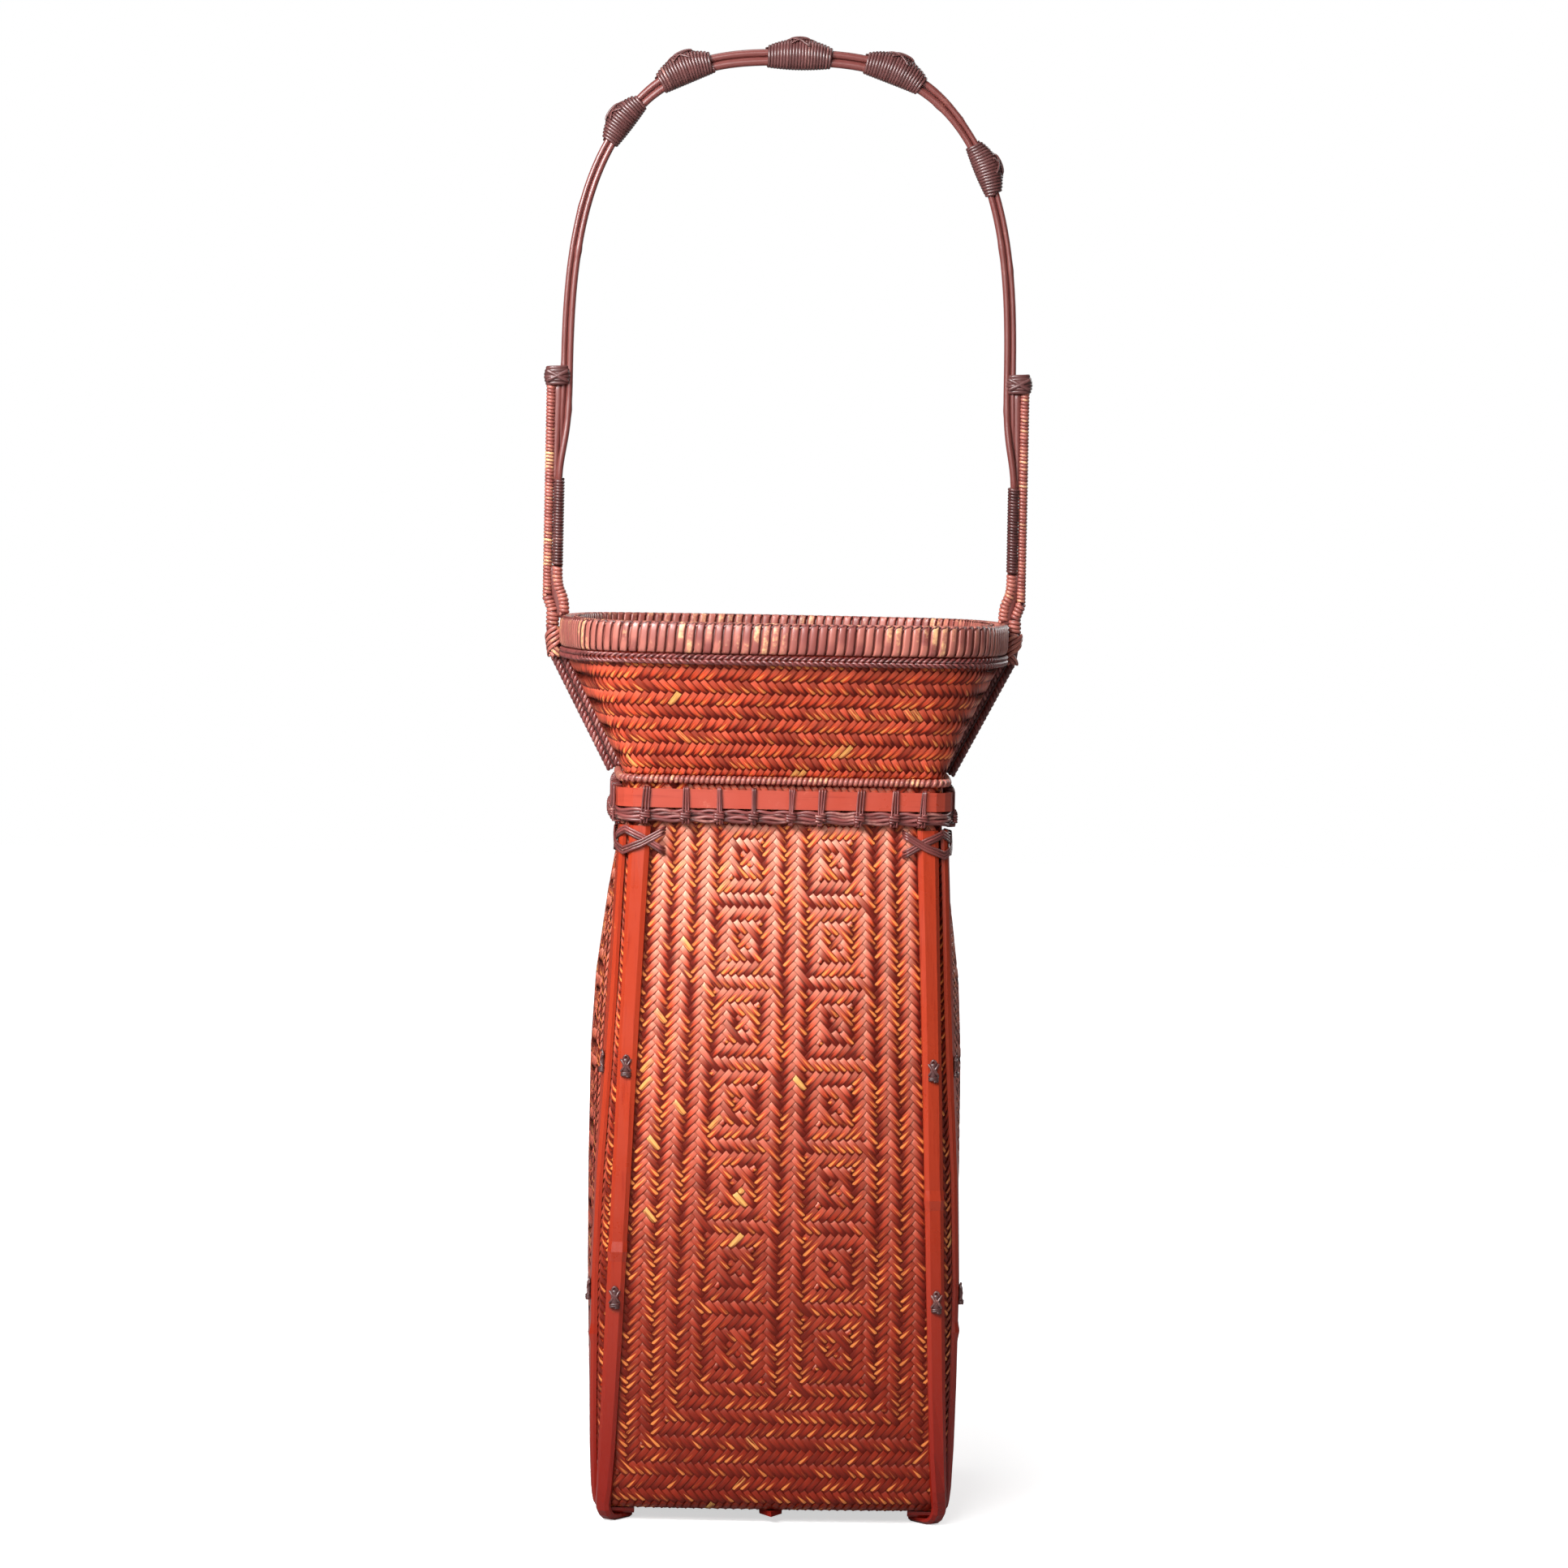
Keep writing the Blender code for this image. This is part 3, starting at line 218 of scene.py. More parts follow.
def sweep(builder, points, outward, wide, thick, sides=8, closed=False, tone=0.5, spare=0.5):
    """Add a strand along points: oval in section, its flat side facing outward."""
    points = np.asarray(points, float)
    count = len(points)
    outward = np.broadcast_to(np.asarray(outward, float), points.shape)
    tables = [np.broadcast_to(table, (count,)) for table in (wide, thick, tone, spare)]
    if not closed:
        # Two more rings close to each end keep the ends blunt
        first_step = max(1e-9, float(np.linalg.norm(points[1] - points[0])))
        reach = min(1.0, 2.0 * float(np.max(thick)) / first_step)
        near, far = 0.12 * reach, 0.5 * reach
        places = np.concatenate(((0.0, near, far), np.arange(1, count - 1),
                                 (count - 1 - far, count - 1 - near, count - 1)))
        given = np.arange(count)
        points, outward = (np.stack([np.interp(places, given, table[:, axis]) for axis in range(3)], 1)
                           for table in (points, outward))
        tables = [np.interp(places, given, table) for table in tables]
        count = len(points)
    wide, thick, tone, spare = tables
    if closed:
        tangents = np.roll(points, -1, 0) - np.roll(points, 1, 0)
    else:
        tangents = np.gradient(points, axis=0)
    tangents = unit(tangents)
    across = unit(np.cross(tangents, outward))
    out = unit(np.cross(across, tangents))
    size = np.ones(count)
    if not closed:
        size[0] = size[-1] = 0.08
        size[1] = size[-2] = 0.62
        size[2] = size[-3] = 0.93
    angles = np.linspace(0.0, 2.0 * math.pi, sides, endpoint=False)
    half_wide = (wide * size)[:, None, None]
    half_thick = (thick * size)[:, None, None]
    rings = points[:, None] + across[:, None] * np.cos(angles)[None, :, None] * half_wide
    rings = rings + out[:, None] * np.sin(angles)[None, :, None] * half_thick
    along = np.repeat(np.linspace(0.0, 1.0, count), sides)
    around = np.tile(0.5 + 0.5 * np.sin(angles), count)
    tone, spare = np.repeat(tone, sides), np.repeat(spare, sides)
    marks = np.stack((tone, along, around, spare), 1)
    spread = np.tile(np.arange(sides) / sides, count)
    faces = grid_faces(count, sides, closed_rows=closed, closed_columns=True)
    builder.add(rings.reshape(-1, 3), faces, marks, np.stack((along, spread), 1))


class Surface:
    """A plaited surface: points and outward normals at the crossings of its strips."""

    def __init__(self, points, cyclic):
        self.points = points
        self.rows, self.columns = points.shape[:2]
        self.cyclic = cyclic
        up = np.gradient(points, axis=0)
        if cyclic:
            along = np.roll(points, -1, 1) - np.roll(points, 1, 1)
        else:
            along = np.gradient(points, axis=1)
        self.normals = unit(np.cross(along, up))

    def at(self, column, row):
        """Points and normals at any place between the crossings."""
        row = np.clip(row, 0.0, self.rows - 1.001)
        if not self.cyclic:
            column = np.clip(column, 0.0, self.columns - 1.001)
        low, left = np.floor(row).astype(int), np.floor(column).astype(int)
        rise, run = (row - low)[..., None], (column - left)[..., None]
        left, right = left % self.columns, (left + 1) % self.columns
        found = []
        for table in (self.points, self.normals):
            lower = table[low, left] * (1.0 - run) + table[low, right] * run
            upper = table[low + 1, left] * (1.0 - run) + table[low + 1, right] * run
            found.append(lower * (1.0 - rise) + upper * rise)
        return found[0], unit(found[1])


# Places of a strip's points along its visible length and across it
ALONG_SHARES = np.array((0.0, 0.055, 0.11, 0.36, 0.64, 0.89, 0.945, 1.0))
ACROSS_SHARES = np.array((-1.0, -0.90, -0.80, 0.80, 0.90, 1.0))
CROWN_SHARES = np.array((1.0, 0.35, 0.0, 0.0, 0.35, 1.0))
ALONG_STEPS = len(ALONG_SHARES)
ACROSS_STEPS = len(ACROSS_SHARES)


def visible_lengths(surface, rule):
    """List each stretch of a strip that lies on top: family, strip, first row and count."""
    stretches = []
    rows = np.arange(surface.rows)
    for family, lean in ((0, 1), (1, -1)):
        for strip in range(0, surface.columns if surface.cyclic else 2 * surface.columns, 2):
            column = strip + lean * rows
            if not surface.cyclic:
                column = column - (surface.columns // 2 if family == 0 else 0)
            inside = np.ones(len(rows), bool)
            if surface.cyclic:
                column = column % surface.columns
            else:
                inside = (column >= 0) & (column < surface.columns)
            shown = (rule(column, rows) == (family == 0)) & inside
            edges = np.flatnonzero(np.diff(np.concatenate(((0,), shown.astype(int), (0,)))))
            for first, last in zip(edges[::2], edges[1::2]):
                stretches.append((family, strip, column[first], first, last - first))
    return stretches


def plait(surface, rule, sizes, tones, side_of=None, inside=False):
    """Build every visible stretch of the strips, sorted into builders by side."""
    stretches = visible_lengths(surface, rule)
    table = np.array(stretches, float)
    family, strip, column, row, length = table.T
    along = length[:, None] * ALONG_SHARES[None, :] - 0.5
    along[:, 0] -= sizes.tuck
    along[:, -1] += sizes.tuck
    across = ACROSS_SHARES
    width = sizes.cover * 0.5 * (1.0 + 0.05 * (RNG.random(len(table)) - 0.5))
    offset = across[None, None, :] * width[:, None, None]
    lean = np.where(family == 0, 1.0, -1.0)[:, None, None]
    run = along[:, :, None]
    columns = column[:, None, None] + lean * (run - offset)
    rows = row[:, None, None] + run + offset
    points, normals = surface.at(columns, rows)
    lift = np.array((-sizes.dip, -sizes.shoulder, 0.15 * sizes.rise, sizes.rise))
    lift = np.concatenate((lift, lift[::-1]))[None, :, None]
    lift = lift - sizes.crown * CROWN_SHARES[None, None, :]
    # The lower edge comes out from under its neighbour later than the upper edge
    late = np.array((0.0, 1.0, 1.0, 0.0, 0.0, 0.0, 0.0, 0.0))[None, :, None]
    lift = lift - sizes.shoulder * 2.0 * late * (0.5 - 0.5 * across)[None, None, :]
    lift = lift + 0.00005 * (RNG.random(len(table)) - 0.5)[:, None, None]
    if inside:
        lift = -lift
    points = points + normals * lift[..., None]
    strip_tone = np.stack([tones[int(kind)][int(index) // 2 % len(tones[0])]
                           for kind, index in zip(family, strip)])
    tone = strip_tone + 0.5 * (RNG.random(len(table)) - 0.5) * (RNG.random(len(table)) < 0.3)
    # Painted sheen: the rising strips are made lighter than the falling ones, for the light that catches the
    # two leans differently
    tone = np.clip(0.66 * tone + np.where(family == 0, 0.30, 0.10), 0.0, 1.0)
    spare = RNG.random(len(table))
    shape = points.shape[:3]
    spread = np.linspace(0.0, 1.0, ALONG_STEPS)[None, :, None]
    marks = np.stack((
        np.broadcast_to(tone[:, None, None], shape),
        np.broadcast_to(spread, shape),
        np.broadcast_to(0.5 + 0.5 * across[None, None, :], shape),
        np.broadcast_to(spare[:, None, None], shape),
    ), -1)
    lengthwise, crosswise = np.linspace(0.0, 1.0, ALONG_STEPS), np.linspace(0.0, 1.0, ACROSS_STEPS)
    flat = np.stack(np.meshgrid(lengthwise, crosswise, indexing="ij"), -1).reshape(-1, 2)
    faces = grid_faces(ALONG_STEPS, ACROSS_STEPS)
    mirrored = faces[:, ::-1]
    builders = {}
    groups = side_of(column) if side_of else np.zeros(len(table), int)
    for index in range(len(table)):
        builder = builders.setdefault(int(groups[index]), Builder())
        turned = (family[index] == 0) == inside
        body = points[index].reshape(-1, 3)
        builder.add(body, mirrored if turned else faces, marks[index].reshape(-1, 4), flat)
    return builders


def sockets(tree, names, kind, side):
    """Give a node group its inputs or outputs."""
    for name in names:
        tree.interface.new_socket(name=name, in_out=side, socket_type=kind)


def set_input(node, socket, value, tree):
    """Set a socket to a value, or link it to another node's output."""
    target = node.inputs[socket]
    if isinstance(value, bpy.types.NodeSocket):
        tree.links.new(value, target)
    elif isinstance(value, (tuple, list)) and target.type == "RGBA":
        target.default_value = (*value[:3], 1.0)
    else:
        target.default_value = value


def add_node(tree, kind, inputs=(), **settings):
    """Add a node with its settings, and return it."""
    node = tree.nodes.new(kind)
    for name, value in settings.items():
        setattr(node, name, value)
    for socket, value in dict(inputs).items():
        set_input(node, socket, value, tree)
    return node


def maths(tree, operation, first, second=0.0, clamp=False):
    """Add a Math node, and return its output."""
    inputs = {0: first} if second is None else {0: first, 1: second}
    return add_node(tree, "ShaderNodeMath", inputs, operation=operation, use_clamp=clamp).outputs[0]


def plus(tree, first, second):
    """Add two values, and return the output."""
    return maths(tree, "ADD", first, second)


def minus(tree, first, second):
    """Take the second value from the first, and return the output."""
    return maths(tree, "SUBTRACT", first, second)


def times(tree, first, second):
    """Multiply two values, and return the output."""
    return maths(tree, "MULTIPLY", first, second)


def mixed(tree, factor, first, second, blend_type="MIX"):
    """Add a colour Mix node, and return its output."""
    node = add_node(tree, "ShaderNodeMix", data_type="RGBA", blend_type=blend_type, clamp_factor=True)
    for socket, value in ((0, factor), (6, first), (7, second)):
        set_input(node, socket, value, tree)
    return node.outputs[2]


def ranged(tree, value, low, high, start=0.0, end=1.0, smooth=True):
    """Map a value from one range to another, and return the output."""
    node = add_node(tree, "ShaderNodeMapRange", {0: value, 1: low, 2: high, 3: start, 4: end})
    node.interpolation_type = "SMOOTHSTEP" if smooth else "LINEAR"
    return node.outputs[0]


def noise(tree, vector, scale, detail=3.0, roughness=0.5):
    """Add a noise texture, and return its value."""
    inputs = {"Vector": vector, "Scale": scale, "Detail": detail, "Roughness": roughness}
    return add_node(tree, "ShaderNodeTexNoise", inputs).outputs["Fac"]


def new_group(name, colours, values, outputs):
    """Make a node group with colour and value inputs; return it, its inputs and its output node."""
    tree = bpy.data.node_groups.new(name, "ShaderNodeTree")
    sockets(tree, colours, "NodeSocketColor", "INPUT")
    sockets(tree, values, "NodeSocketFloat", "INPUT")
    for output, kind in outputs:
        sockets(tree, (output,), kind, "OUTPUT")
    given = tree.nodes.new("NodeGroupInput").outputs
    result = tree.nodes.new("NodeGroupOutput")
    return tree, given, result


def plait_group():
    """Lacquered strips: each its own tone, with painted shade on the lower end and towards the bottom, a
    yellow streak near the lower end that is part wear and part painted highlight, and a pink painted sheen on
    the upper end.
    """
    tree, given, result = new_group(
        "Plaited Strip",
        ("Deep", "Lacquer", "Dry", "Worn", "Bare", "Shade"),
        ("Wear",),
        (("Color", "NodeSocketColor"), ("Roughness", "NodeSocketFloat"), ("Height", "NodeSocketFloat")),
    )
    mark = add_node(tree, "ShaderNodeAttribute", attribute_name="mark")
    parts = add_node(tree, "ShaderNodeSeparateColor", {"Color": mark.outputs["Color"]})
    tone, along, across = parts.outputs[0], parts.outputs[1], parts.outputs[2]
    spare = mark.outputs["Alpha"]
    place = add_node(tree, "ShaderNodeTexCoord").outputs["Object"]
    blotch = noise(tree, place, 900.0, 3.0, 0.6)
    broad = noise(tree, place, 28.0, 2.0)
    own = add_node(tree, "ShaderNodeCombineXYZ", {
        0: times(tree, across, 7.0),
        1: times(tree, along, 1.3),
        2: times(tree, spare, 90.0),
    })
    fibre = noise(tree, own.outputs[0], 1.0, 3.0, 0.6)
    # How far a place is from the strip's lower end, where it comes out to a point from under the next one;
    # lit is where the painted shade on that lower end gives way
    side = maths(tree, "ABSOLUTE", minus(tree, across, 0.5))
    emerged = minus(tree, times(tree, along, 3.4), times(tree, side, 1.5))
    emerged = plus(tree, emerged, times(tree, minus(tree, fibre, 0.5), 1.1))
    emerged = plus(tree, emerged, times(tree, minus(tree, spare, 0.5), 0.7))
    lit = ranged(tree, emerged, 0.60, 1.45)
    high = ranged(tree, along, 0.35, 0.80)
    rub = times(tree, minus(tree, fibre, 0.5), 1.0)
    rub = plus(tree, rub, times(tree, minus(tree, spare, 0.5), 0.9))
    rub = plus(tree, rub, times(tree, minus(tree, broad, 0.5), 1.1))
    # A slender streak, pointed at both ends, that hooks round the lower end: part wear, part painted
    # highlight
    bend = plus(tree, times(tree, along, -0.55), plus(tree, times(tree, spare, 0.22), 0.66))
    aside = maths(tree, "ABSOLUTE", minus(tree, across, bend))
    room = times(tree, ranged(tree, along, 0.05, 0.24), ranged(tree, along, 0.74, 0.30))
    tip_wear_and_glint = ranged(tree, minus(tree, times(tree, room, 0.30), aside), 0.0, 0.12)
    worn = times(tree, ranged(tree, plus(tree, rub, given["Wear"]), -0.22, 0.30), tip_wear_and_glint)
    uneven = times(tree, minus(tree, fibre, 0.5), 0.05)
    bare = ranged(tree, plus(tree, spare, uneven), 0.985, 1.0)
    tall = add_node(tree, "ShaderNodeSeparateXYZ", {0: place}).outputs[2]
    # Painted shade: rise darkens the strips towards the basket's bottom, and fades their painted sheen and
    # yellow streaks there
    rise = ranged(tree, tall, 0.0, 0.30, 0.15, 1.0)
    body = ranged(tree, tall, 0.284, 0.296, 1.0, 0.22)
    # Painted shade: the strips' lower ends, and the weave towards the bottom, are mixed towards Deep
    shown = times(tree, times(tree, tone, lit), rise)
    colour = mixed(tree, shown, given["Deep"], given["Lacquer"])
    grain = ranged(tree, fibre, 0.35, 0.65, 0.78, 1.16, False)
    colour = add_node(tree, "ShaderNodeVectorMath", {0: colour, "Scale": grain}, operation="SCALE").outputs[0]
    # Painted sheen: the upper end of each strip is mixed towards a pale pink, more of it high on the basket,
    # fading out just below the neck
    painted_sheen = times(tree, times(tree, high, ranged(tree, tone, 0.0, 1.0, 0.35, 1.0)),
                maths(tree, "POWER", rise, 2.2))
    painted_sheen = times(tree, times(tree, painted_sheen, body), 0.90)
    colour = mixed(tree, painted_sheen, colour, given["Dry"])
    # worn holds the yellow streak, part wear and part painted highlight
    worn = times(tree, worn, ranged(tree, rise, 0.15, 0.80, 0.75, 0.92, False))
    colour = mixed(tree, worn, colour, given["Worn"])
    bare = times(tree, times(tree, bare, lit), 0.85)
    colour = mixed(tree, bare, colour, given["Bare"])
    shade = ranged(tree, side, 0.43, 0.485, 0.0, 0.72)
    shade = maths(tree, "MAXIMUM", shade, ranged(tree, along, 0.955, 0.99, 0.0, 0.62))
    shade = maths(tree, "MAXIMUM", shade, ranged(tree, along, 0.05, 0.01, 0.0, 0.85))
    colour = mixed(tree, shade, colour, given["Shade"])
    tree.links.new(colour, result.inputs["Color"])
    rough = ranged(tree, blotch, 0.3, 0.8, 0.31, 0.39, False)
    dull = times(tree, minus(tree, 1.0, lit), 0.25)
    dull = plus(tree, dull, times(tree, shade, 0.25))
    tree.links.new(plus(tree, rough, dull), result.inputs["Roughness"])
    height = plus(tree, times(tree, fibre, 0.8), times(tree, blotch, 0.35))
    tree.links.new(height, result.inputs["Height"])
    return tree


def strand_group():
    """Wound strands: each turn its own tone, lighter on its crown by wear and a painted highlight, with
    painted shade in the grooves between turns and fine long grain.
    """
    tree, given, result = new_group(
        "Wound Strand",
        ("Deep", "Face", "Worn"),
        ("Wear", "Grain"),
        (("Color", "NodeSocketColor"), ("Roughness", "NodeSocketFloat"), ("Height", "NodeSocketFloat")),
    )
    mark = add_node(tree, "ShaderNodeAttribute", attribute_name="mark")
    parts = add_node(tree, "ShaderNodeSeparateColor", {"Color": mark.outputs["Color"]})
    tone, crown = parts.outputs[0], parts.outputs[2]
    spare = mark.outputs["Alpha"]
    place = add_node(tree, "ShaderNodeTexCoord").outputs["Object"]
    blotch = noise(tree, place, 700.0, 4.0, 0.6)
    broad = noise(tree, place, 45.0, 2.0)
    colour = mixed(tree, tone, given["Deep"], given["Face"])
    # The crown of each strand is made paler: part wear, part painted highlight
    rub = plus(tree, times(tree, ranged(tree, crown, 0.6, 1.0), 0.5), times(tree, spare, 0.6))
    rub = plus(tree, rub, minus(tree, broad, 0.5))
    grain = times(tree, minus(tree, blotch, 0.5), given["Grain"])
    rub = plus(tree, rub, grain)
    rub = plus(tree, rub, given["Wear"])
    worn = ranged(tree, rub, 0.80, 1.20)
    colour = mixed(tree, worn, colour, given["Worn"])
    # Painted shade: the sides of each strand, down in the grooves between turns, are darkened
    painted_groove_shade = ranged(tree, crown, 0.25, 0.65, 0.45, 1.0)
    colour = mixed(tree, painted_groove_shade, mixed(tree, 0.65, colour, (0.01, 0.004, 0.003)), colour)
    tree.links.new(colour, result.inputs["Color"])
    tree.links.new(ranged(tree, blotch, 0.3, 0.75, 0.30, 0.55, False), result.inputs["Roughness"])
    tree.links.new(blotch, result.inputs["Height"])
    return tree


def lacquer_group():
    """Split bamboo under lacquer: long fine streaks, and painted shade that darkens it towards the bottom."""
    tree, given, result = new_group(
        "Lacquered Bamboo",
        ("Deep", "Lacquer", "Worn"),
        ("Streaks", "Wear", "Low", "High", "Across", "Upward"),
        (("Color", "NodeSocketColor"), ("Roughness", "NodeSocketFloat"), ("Height", "NodeSocketFloat")),
    )
    place = add_node(tree, "ShaderNodeTexCoord").outputs["Object"]
    close = {0: given["Across"], 1: given["Across"], 2: given["Upward"]}
    scale = add_node(tree, "ShaderNodeCombineXYZ", close)
    fibre = add_node(tree, "ShaderNodeMapping", {"Vector": place, "Scale": scale.outputs[0]}).outputs[0]
    streak = noise(tree, fibre, 1.0, 5.0, 0.65)
    blotch = noise(tree, place, 60.0, 4.0, 0.6)
    fine = noise(tree, place, 800.0, 3.0)
    height = add_node(tree, "ShaderNodeSeparateXYZ", {0: place}).outputs[2]
    # Painted shade: the bamboo grows darker towards the bottom, from Deep at the Low height to its lacquer at
    # the High height
    rise = ranged(tree, height, given["Low"], given["High"])
    colour = mixed(tree, rise, given["Deep"], given["Lacquer"])
    shade = times(tree, minus(tree, streak, 0.5), given["Streaks"])
    colour = mixed(tree, ranged(tree, shade, 0.02, 0.35), colour, given["Deep"])
    rub = plus(tree, plus(tree, blotch, given["Wear"]), times(tree, minus(tree, fine, 0.5), 0.35))
    colour = mixed(tree, ranged(tree, rub, 0.62, 0.85), colour, given["Worn"])
    tree.links.new(colour, result.inputs["Color"])
    tree.links.new(ranged(tree, blotch, 0.3, 0.75, 0.24, 0.42, False), result.inputs["Roughness"])
    relief = plus(tree, times(tree, streak, 0.7), times(tree, fine, 0.2))
    tree.links.new(relief, result.inputs["Height"])
    return tree


GROUPS = {}


def finish_material(name, group, colours, values, bump=0.0001, coat=0.0, coat_roughness=0.2, specular=0.5,
                    sheen=(1.0, 1.0, 1.0)):
    """Make a material: a Principled shader fed by one of the node groups."""
    if group not in GROUPS:
        GROUPS[group] = {"plait": plait_group, "strand": strand_group, "lacquer": lacquer_group}[group]()
    material = bpy.data.materials.new(name)
    material.use_nodes = True
    tree = material.node_tree
    shader = tree.nodes["Principled BSDF"]
    made = add_node(tree, "ShaderNodeGroup", node_tree=GROUPS[group])
    for socket, value in {**colours, **values}.items():
        set_input(made, socket, value, tree)
    tree.links.new(made.outputs["Color"], shader.inputs["Base Color"])
    tree.links.new(made.outputs["Roughness"], shader.inputs["Roughness"])
    uneven = {"Height": made.outputs["Height"], "Strength": 0.6, "Distance": bump}
    relief = add_node(tree, "ShaderNodeBump", uneven)
    tree.links.new(relief.outputs[0], shader.inputs["Normal"])
    shader.inputs["Coat Weight"].default_value = coat
    shader.inputs["Coat Roughness"].default_value = coat_roughness
    shader.inputs["Specular IOR Level"].default_value = specular
    shader.inputs["Specular Tint"].default_value = (*sheen, 1.0)
    return material


def wind(builder, spine, out, side, half_out, half_side, turns, wide, thick,
         steps=14, sides=6, power=2.0, phase=0.0, tones=(0.2, 0.8)):
    """Wind a strand round a spine; its section there is an oval or a rounded box."""
    spine, out, side = (np.asarray(table, float) for table in (spine, out, side))
    count = max(4, int(round(turns * steps))) + 1
    share = np.linspace(0.0, 1.0, count)
    given = np.linspace(0.0, 1.0, len(spine))

    def spread(table):
        table = np.broadcast_to(table, spine.shape)
        return np.stack([np.interp(share, given, table[:, axis]) for axis in range(3)], 1)

    spine, out, side = spread(spine), unit(spread(out)), unit(spread(side))
    angle = 2.0 * math.pi * turns * share + phase
    cosine, sine = np.cos(angle), np.sin(angle)
    bent_cosine = (np.sign(cosine) * np.abs(cosine) ** (2.0 / power))[:, None]
    bent_sine = (np.sign(sine) * np.abs(sine) ** (2.0 / power))[:, None]
    reach_out = np.broadcast_to(np.interp(share, given, np.broadcast_to(half_out, (len(given),))), (count,))
    reach_side = np.broadcast_to(np.interp(share, given, np.broadcast_to(half_side, (len(given),))), (count,))
    points = spine + out * bent_cosine * reach_out[:, None] + side * bent_sine * reach_side[:, None]
    outward = unit(out * (cosine / reach_out)[:, None] + side * (sine / reach_side)[:, None])
    turn = np.floor(turns * share + phase / (2.0 * math.pi)).astype(int)
    levels = tones[0] + (tones[1] - tones[0]) * RNG.random(turn.max() - turn.min() + 1)
    spares = RNG.random(len(levels))
    sweep(builder, points, outward, wide, thick, sides, tone=levels[turn - turn.min()],
          spare=spares[turn - turn.min()])


def level_path(level, height, first=0.0, last=4.0, count=400, offset=0.0):
    """Points and outward normals round a level, at a height and an offset from it."""
    turns = np.linspace(first, last, count, endpoint=(last - first) < 4.0)
    near = 0.002
    ahead, behind = level.at(turns + near), level.at(turns - near)
    tangents = unit(ahead - behind)
    normals = np.stack((tangents[:, 1], -tangents[:, 0], np.zeros(len(turns))), 1)
    flat = level.at(turns)
    points = np.concatenate((flat, np.full((len(turns), 1), height)), 1) + normals * offset
    return points, normals


def closed_shell(builder, rings, tone=0.2):
    """Add a closed tube of rings, the last ring joined to the first."""
    count, across = len(rings), len(rings[0])
    points = np.stack(rings).reshape(-1, 3)
    marks = np.zeros((len(points), 4))
    marks[:, 0], marks[:, 1], marks[:, 2], marks[:, 3] = tone, 0.5, 0.5, 0.5
    flat = np.stack(np.meshgrid(np.arange(count) / count, np.arange(across) / across, indexing="ij"), -1)
    builder.add(points, grid_faces(count, across, True, True), marks, flat.reshape(-1, 2))


PLAITED = "Plaited bamboo"
INNER = "Plaited bamboo inside"
POSTS = "Split bamboo"
BAND = "Neck band bamboo"
RATTAN = "Dark rattan"
WRAPPING = "Rim wrapping"
CANE = "Handle cane"
KNOTS = "Knot rattan"
TUBE = "Water tube bamboo"
MATERIALS = {}


def bamboo_values(wear, across, upward):
    """Values of split bamboo: how worn it is, and how close its streaks lie across and upwards."""
    # High is the height where the painted shade towards the bottom has faded out
    return {"Streaks": 1.0, "Wear": wear, "Low": 0.0, "High": 0.2, "Across": across, "Upward": upward}


# Each finish: its node group, colours, values, and then bump, coat, coat roughness, specular and sheen.
# A word stands for a colour or value of the settings, and a word with a number for a share of that colour.
FINISHES = {
    # For the plait, the pale pink colour is a painted sheen on the strips' upper ends, and the worn colour
    # paints the yellow streaks at their lower ends, part wear and part painted highlight
    PLAITED: ("plait", {"Deep": (0.15, 0.005, 0.002), "Lacquer": "lacquer", "Dry": (0.90, 0.41, 0.29),
                        "Worn": "worn", "Bare": "bare", "Shade": (0.06, 0.005, 0.002)},
              {"Wear": "wear"}, (0.0001, 0.0, 0.3, 0.55, (1.0, 0.66, 0.50))),
    INNER: ("plait", {"Deep": ("lacquer", 0.28), "Lacquer": (0.23, 0.045, 0.025), "Dry": (0.30, 0.08, 0.05),
                      "Worn": "lacquer", "Bare": "worn", "Shade": (0.02, 0.003, 0.002)},
            {"Wear": 0.1}, (0.00012, 0.1, 0.35)),
    POSTS: ("lacquer", {"Deep": (0.22, 0.008, 0.003), "Lacquer": "post", "Worn": "worn"},
            bamboo_values(-0.08, 900.0, 18.0), (0.00008, 0.25, 0.15, 0.3)),
    BAND: ("lacquer", {"Deep": (0.30, 0.025, 0.014), "Lacquer": (0.46, 0.062, 0.034),
                       "Worn": (0.72, 0.26, 0.17)},
           bamboo_values(0.0, 25.0, 900.0), (0.00008, 0.6, 0.15)),
    TUBE: ("lacquer", {"Deep": (0.20, 0.11, 0.045), "Lacquer": (0.42, 0.27, 0.11),
                       "Worn": (0.50, 0.36, 0.18)},
           bamboo_values(0.0, 500.0, 12.0), (0.0001, 0.1, 0.3)),
    CANE: ("lacquer", {"Deep": (0.11, 0.022, 0.018), "Lacquer": "cane", "Worn": (0.42, 0.16, 0.11)},
           bamboo_values(-0.02, 300.0, 60.0), (0.00006, 0.3, 0.25)),
    # For the wound strands, the worn colour is also a painted highlight on their crowns
    WRAPPING: ("strand", {"Deep": (0.25, 0.060, 0.050), "Face": (0.50, 0.16, 0.12),
                          "Worn": (0.86, 0.50, 0.24)},
               {"Wear": -0.06, "Grain": 0.9}, (0.00008, 0.35, 0.25)),
    KNOTS: ("strand", {"Deep": (0.060, 0.018, 0.017), "Face": (0.135, 0.046, 0.043),
                       "Worn": (0.38, 0.17, 0.14)},
            {"Wear": -0.25, "Grain": 0.5}, (0.00006, 0.5, 0.2)),
    RATTAN: ("strand", {"Deep": (0.085, 0.018, 0.016), "Face": "rattan", "Worn": (0.42, 0.17, 0.14)},
             {"Wear": -0.05, "Grain": 0.7}, (0.00006, 0.4, 0.22)),
}


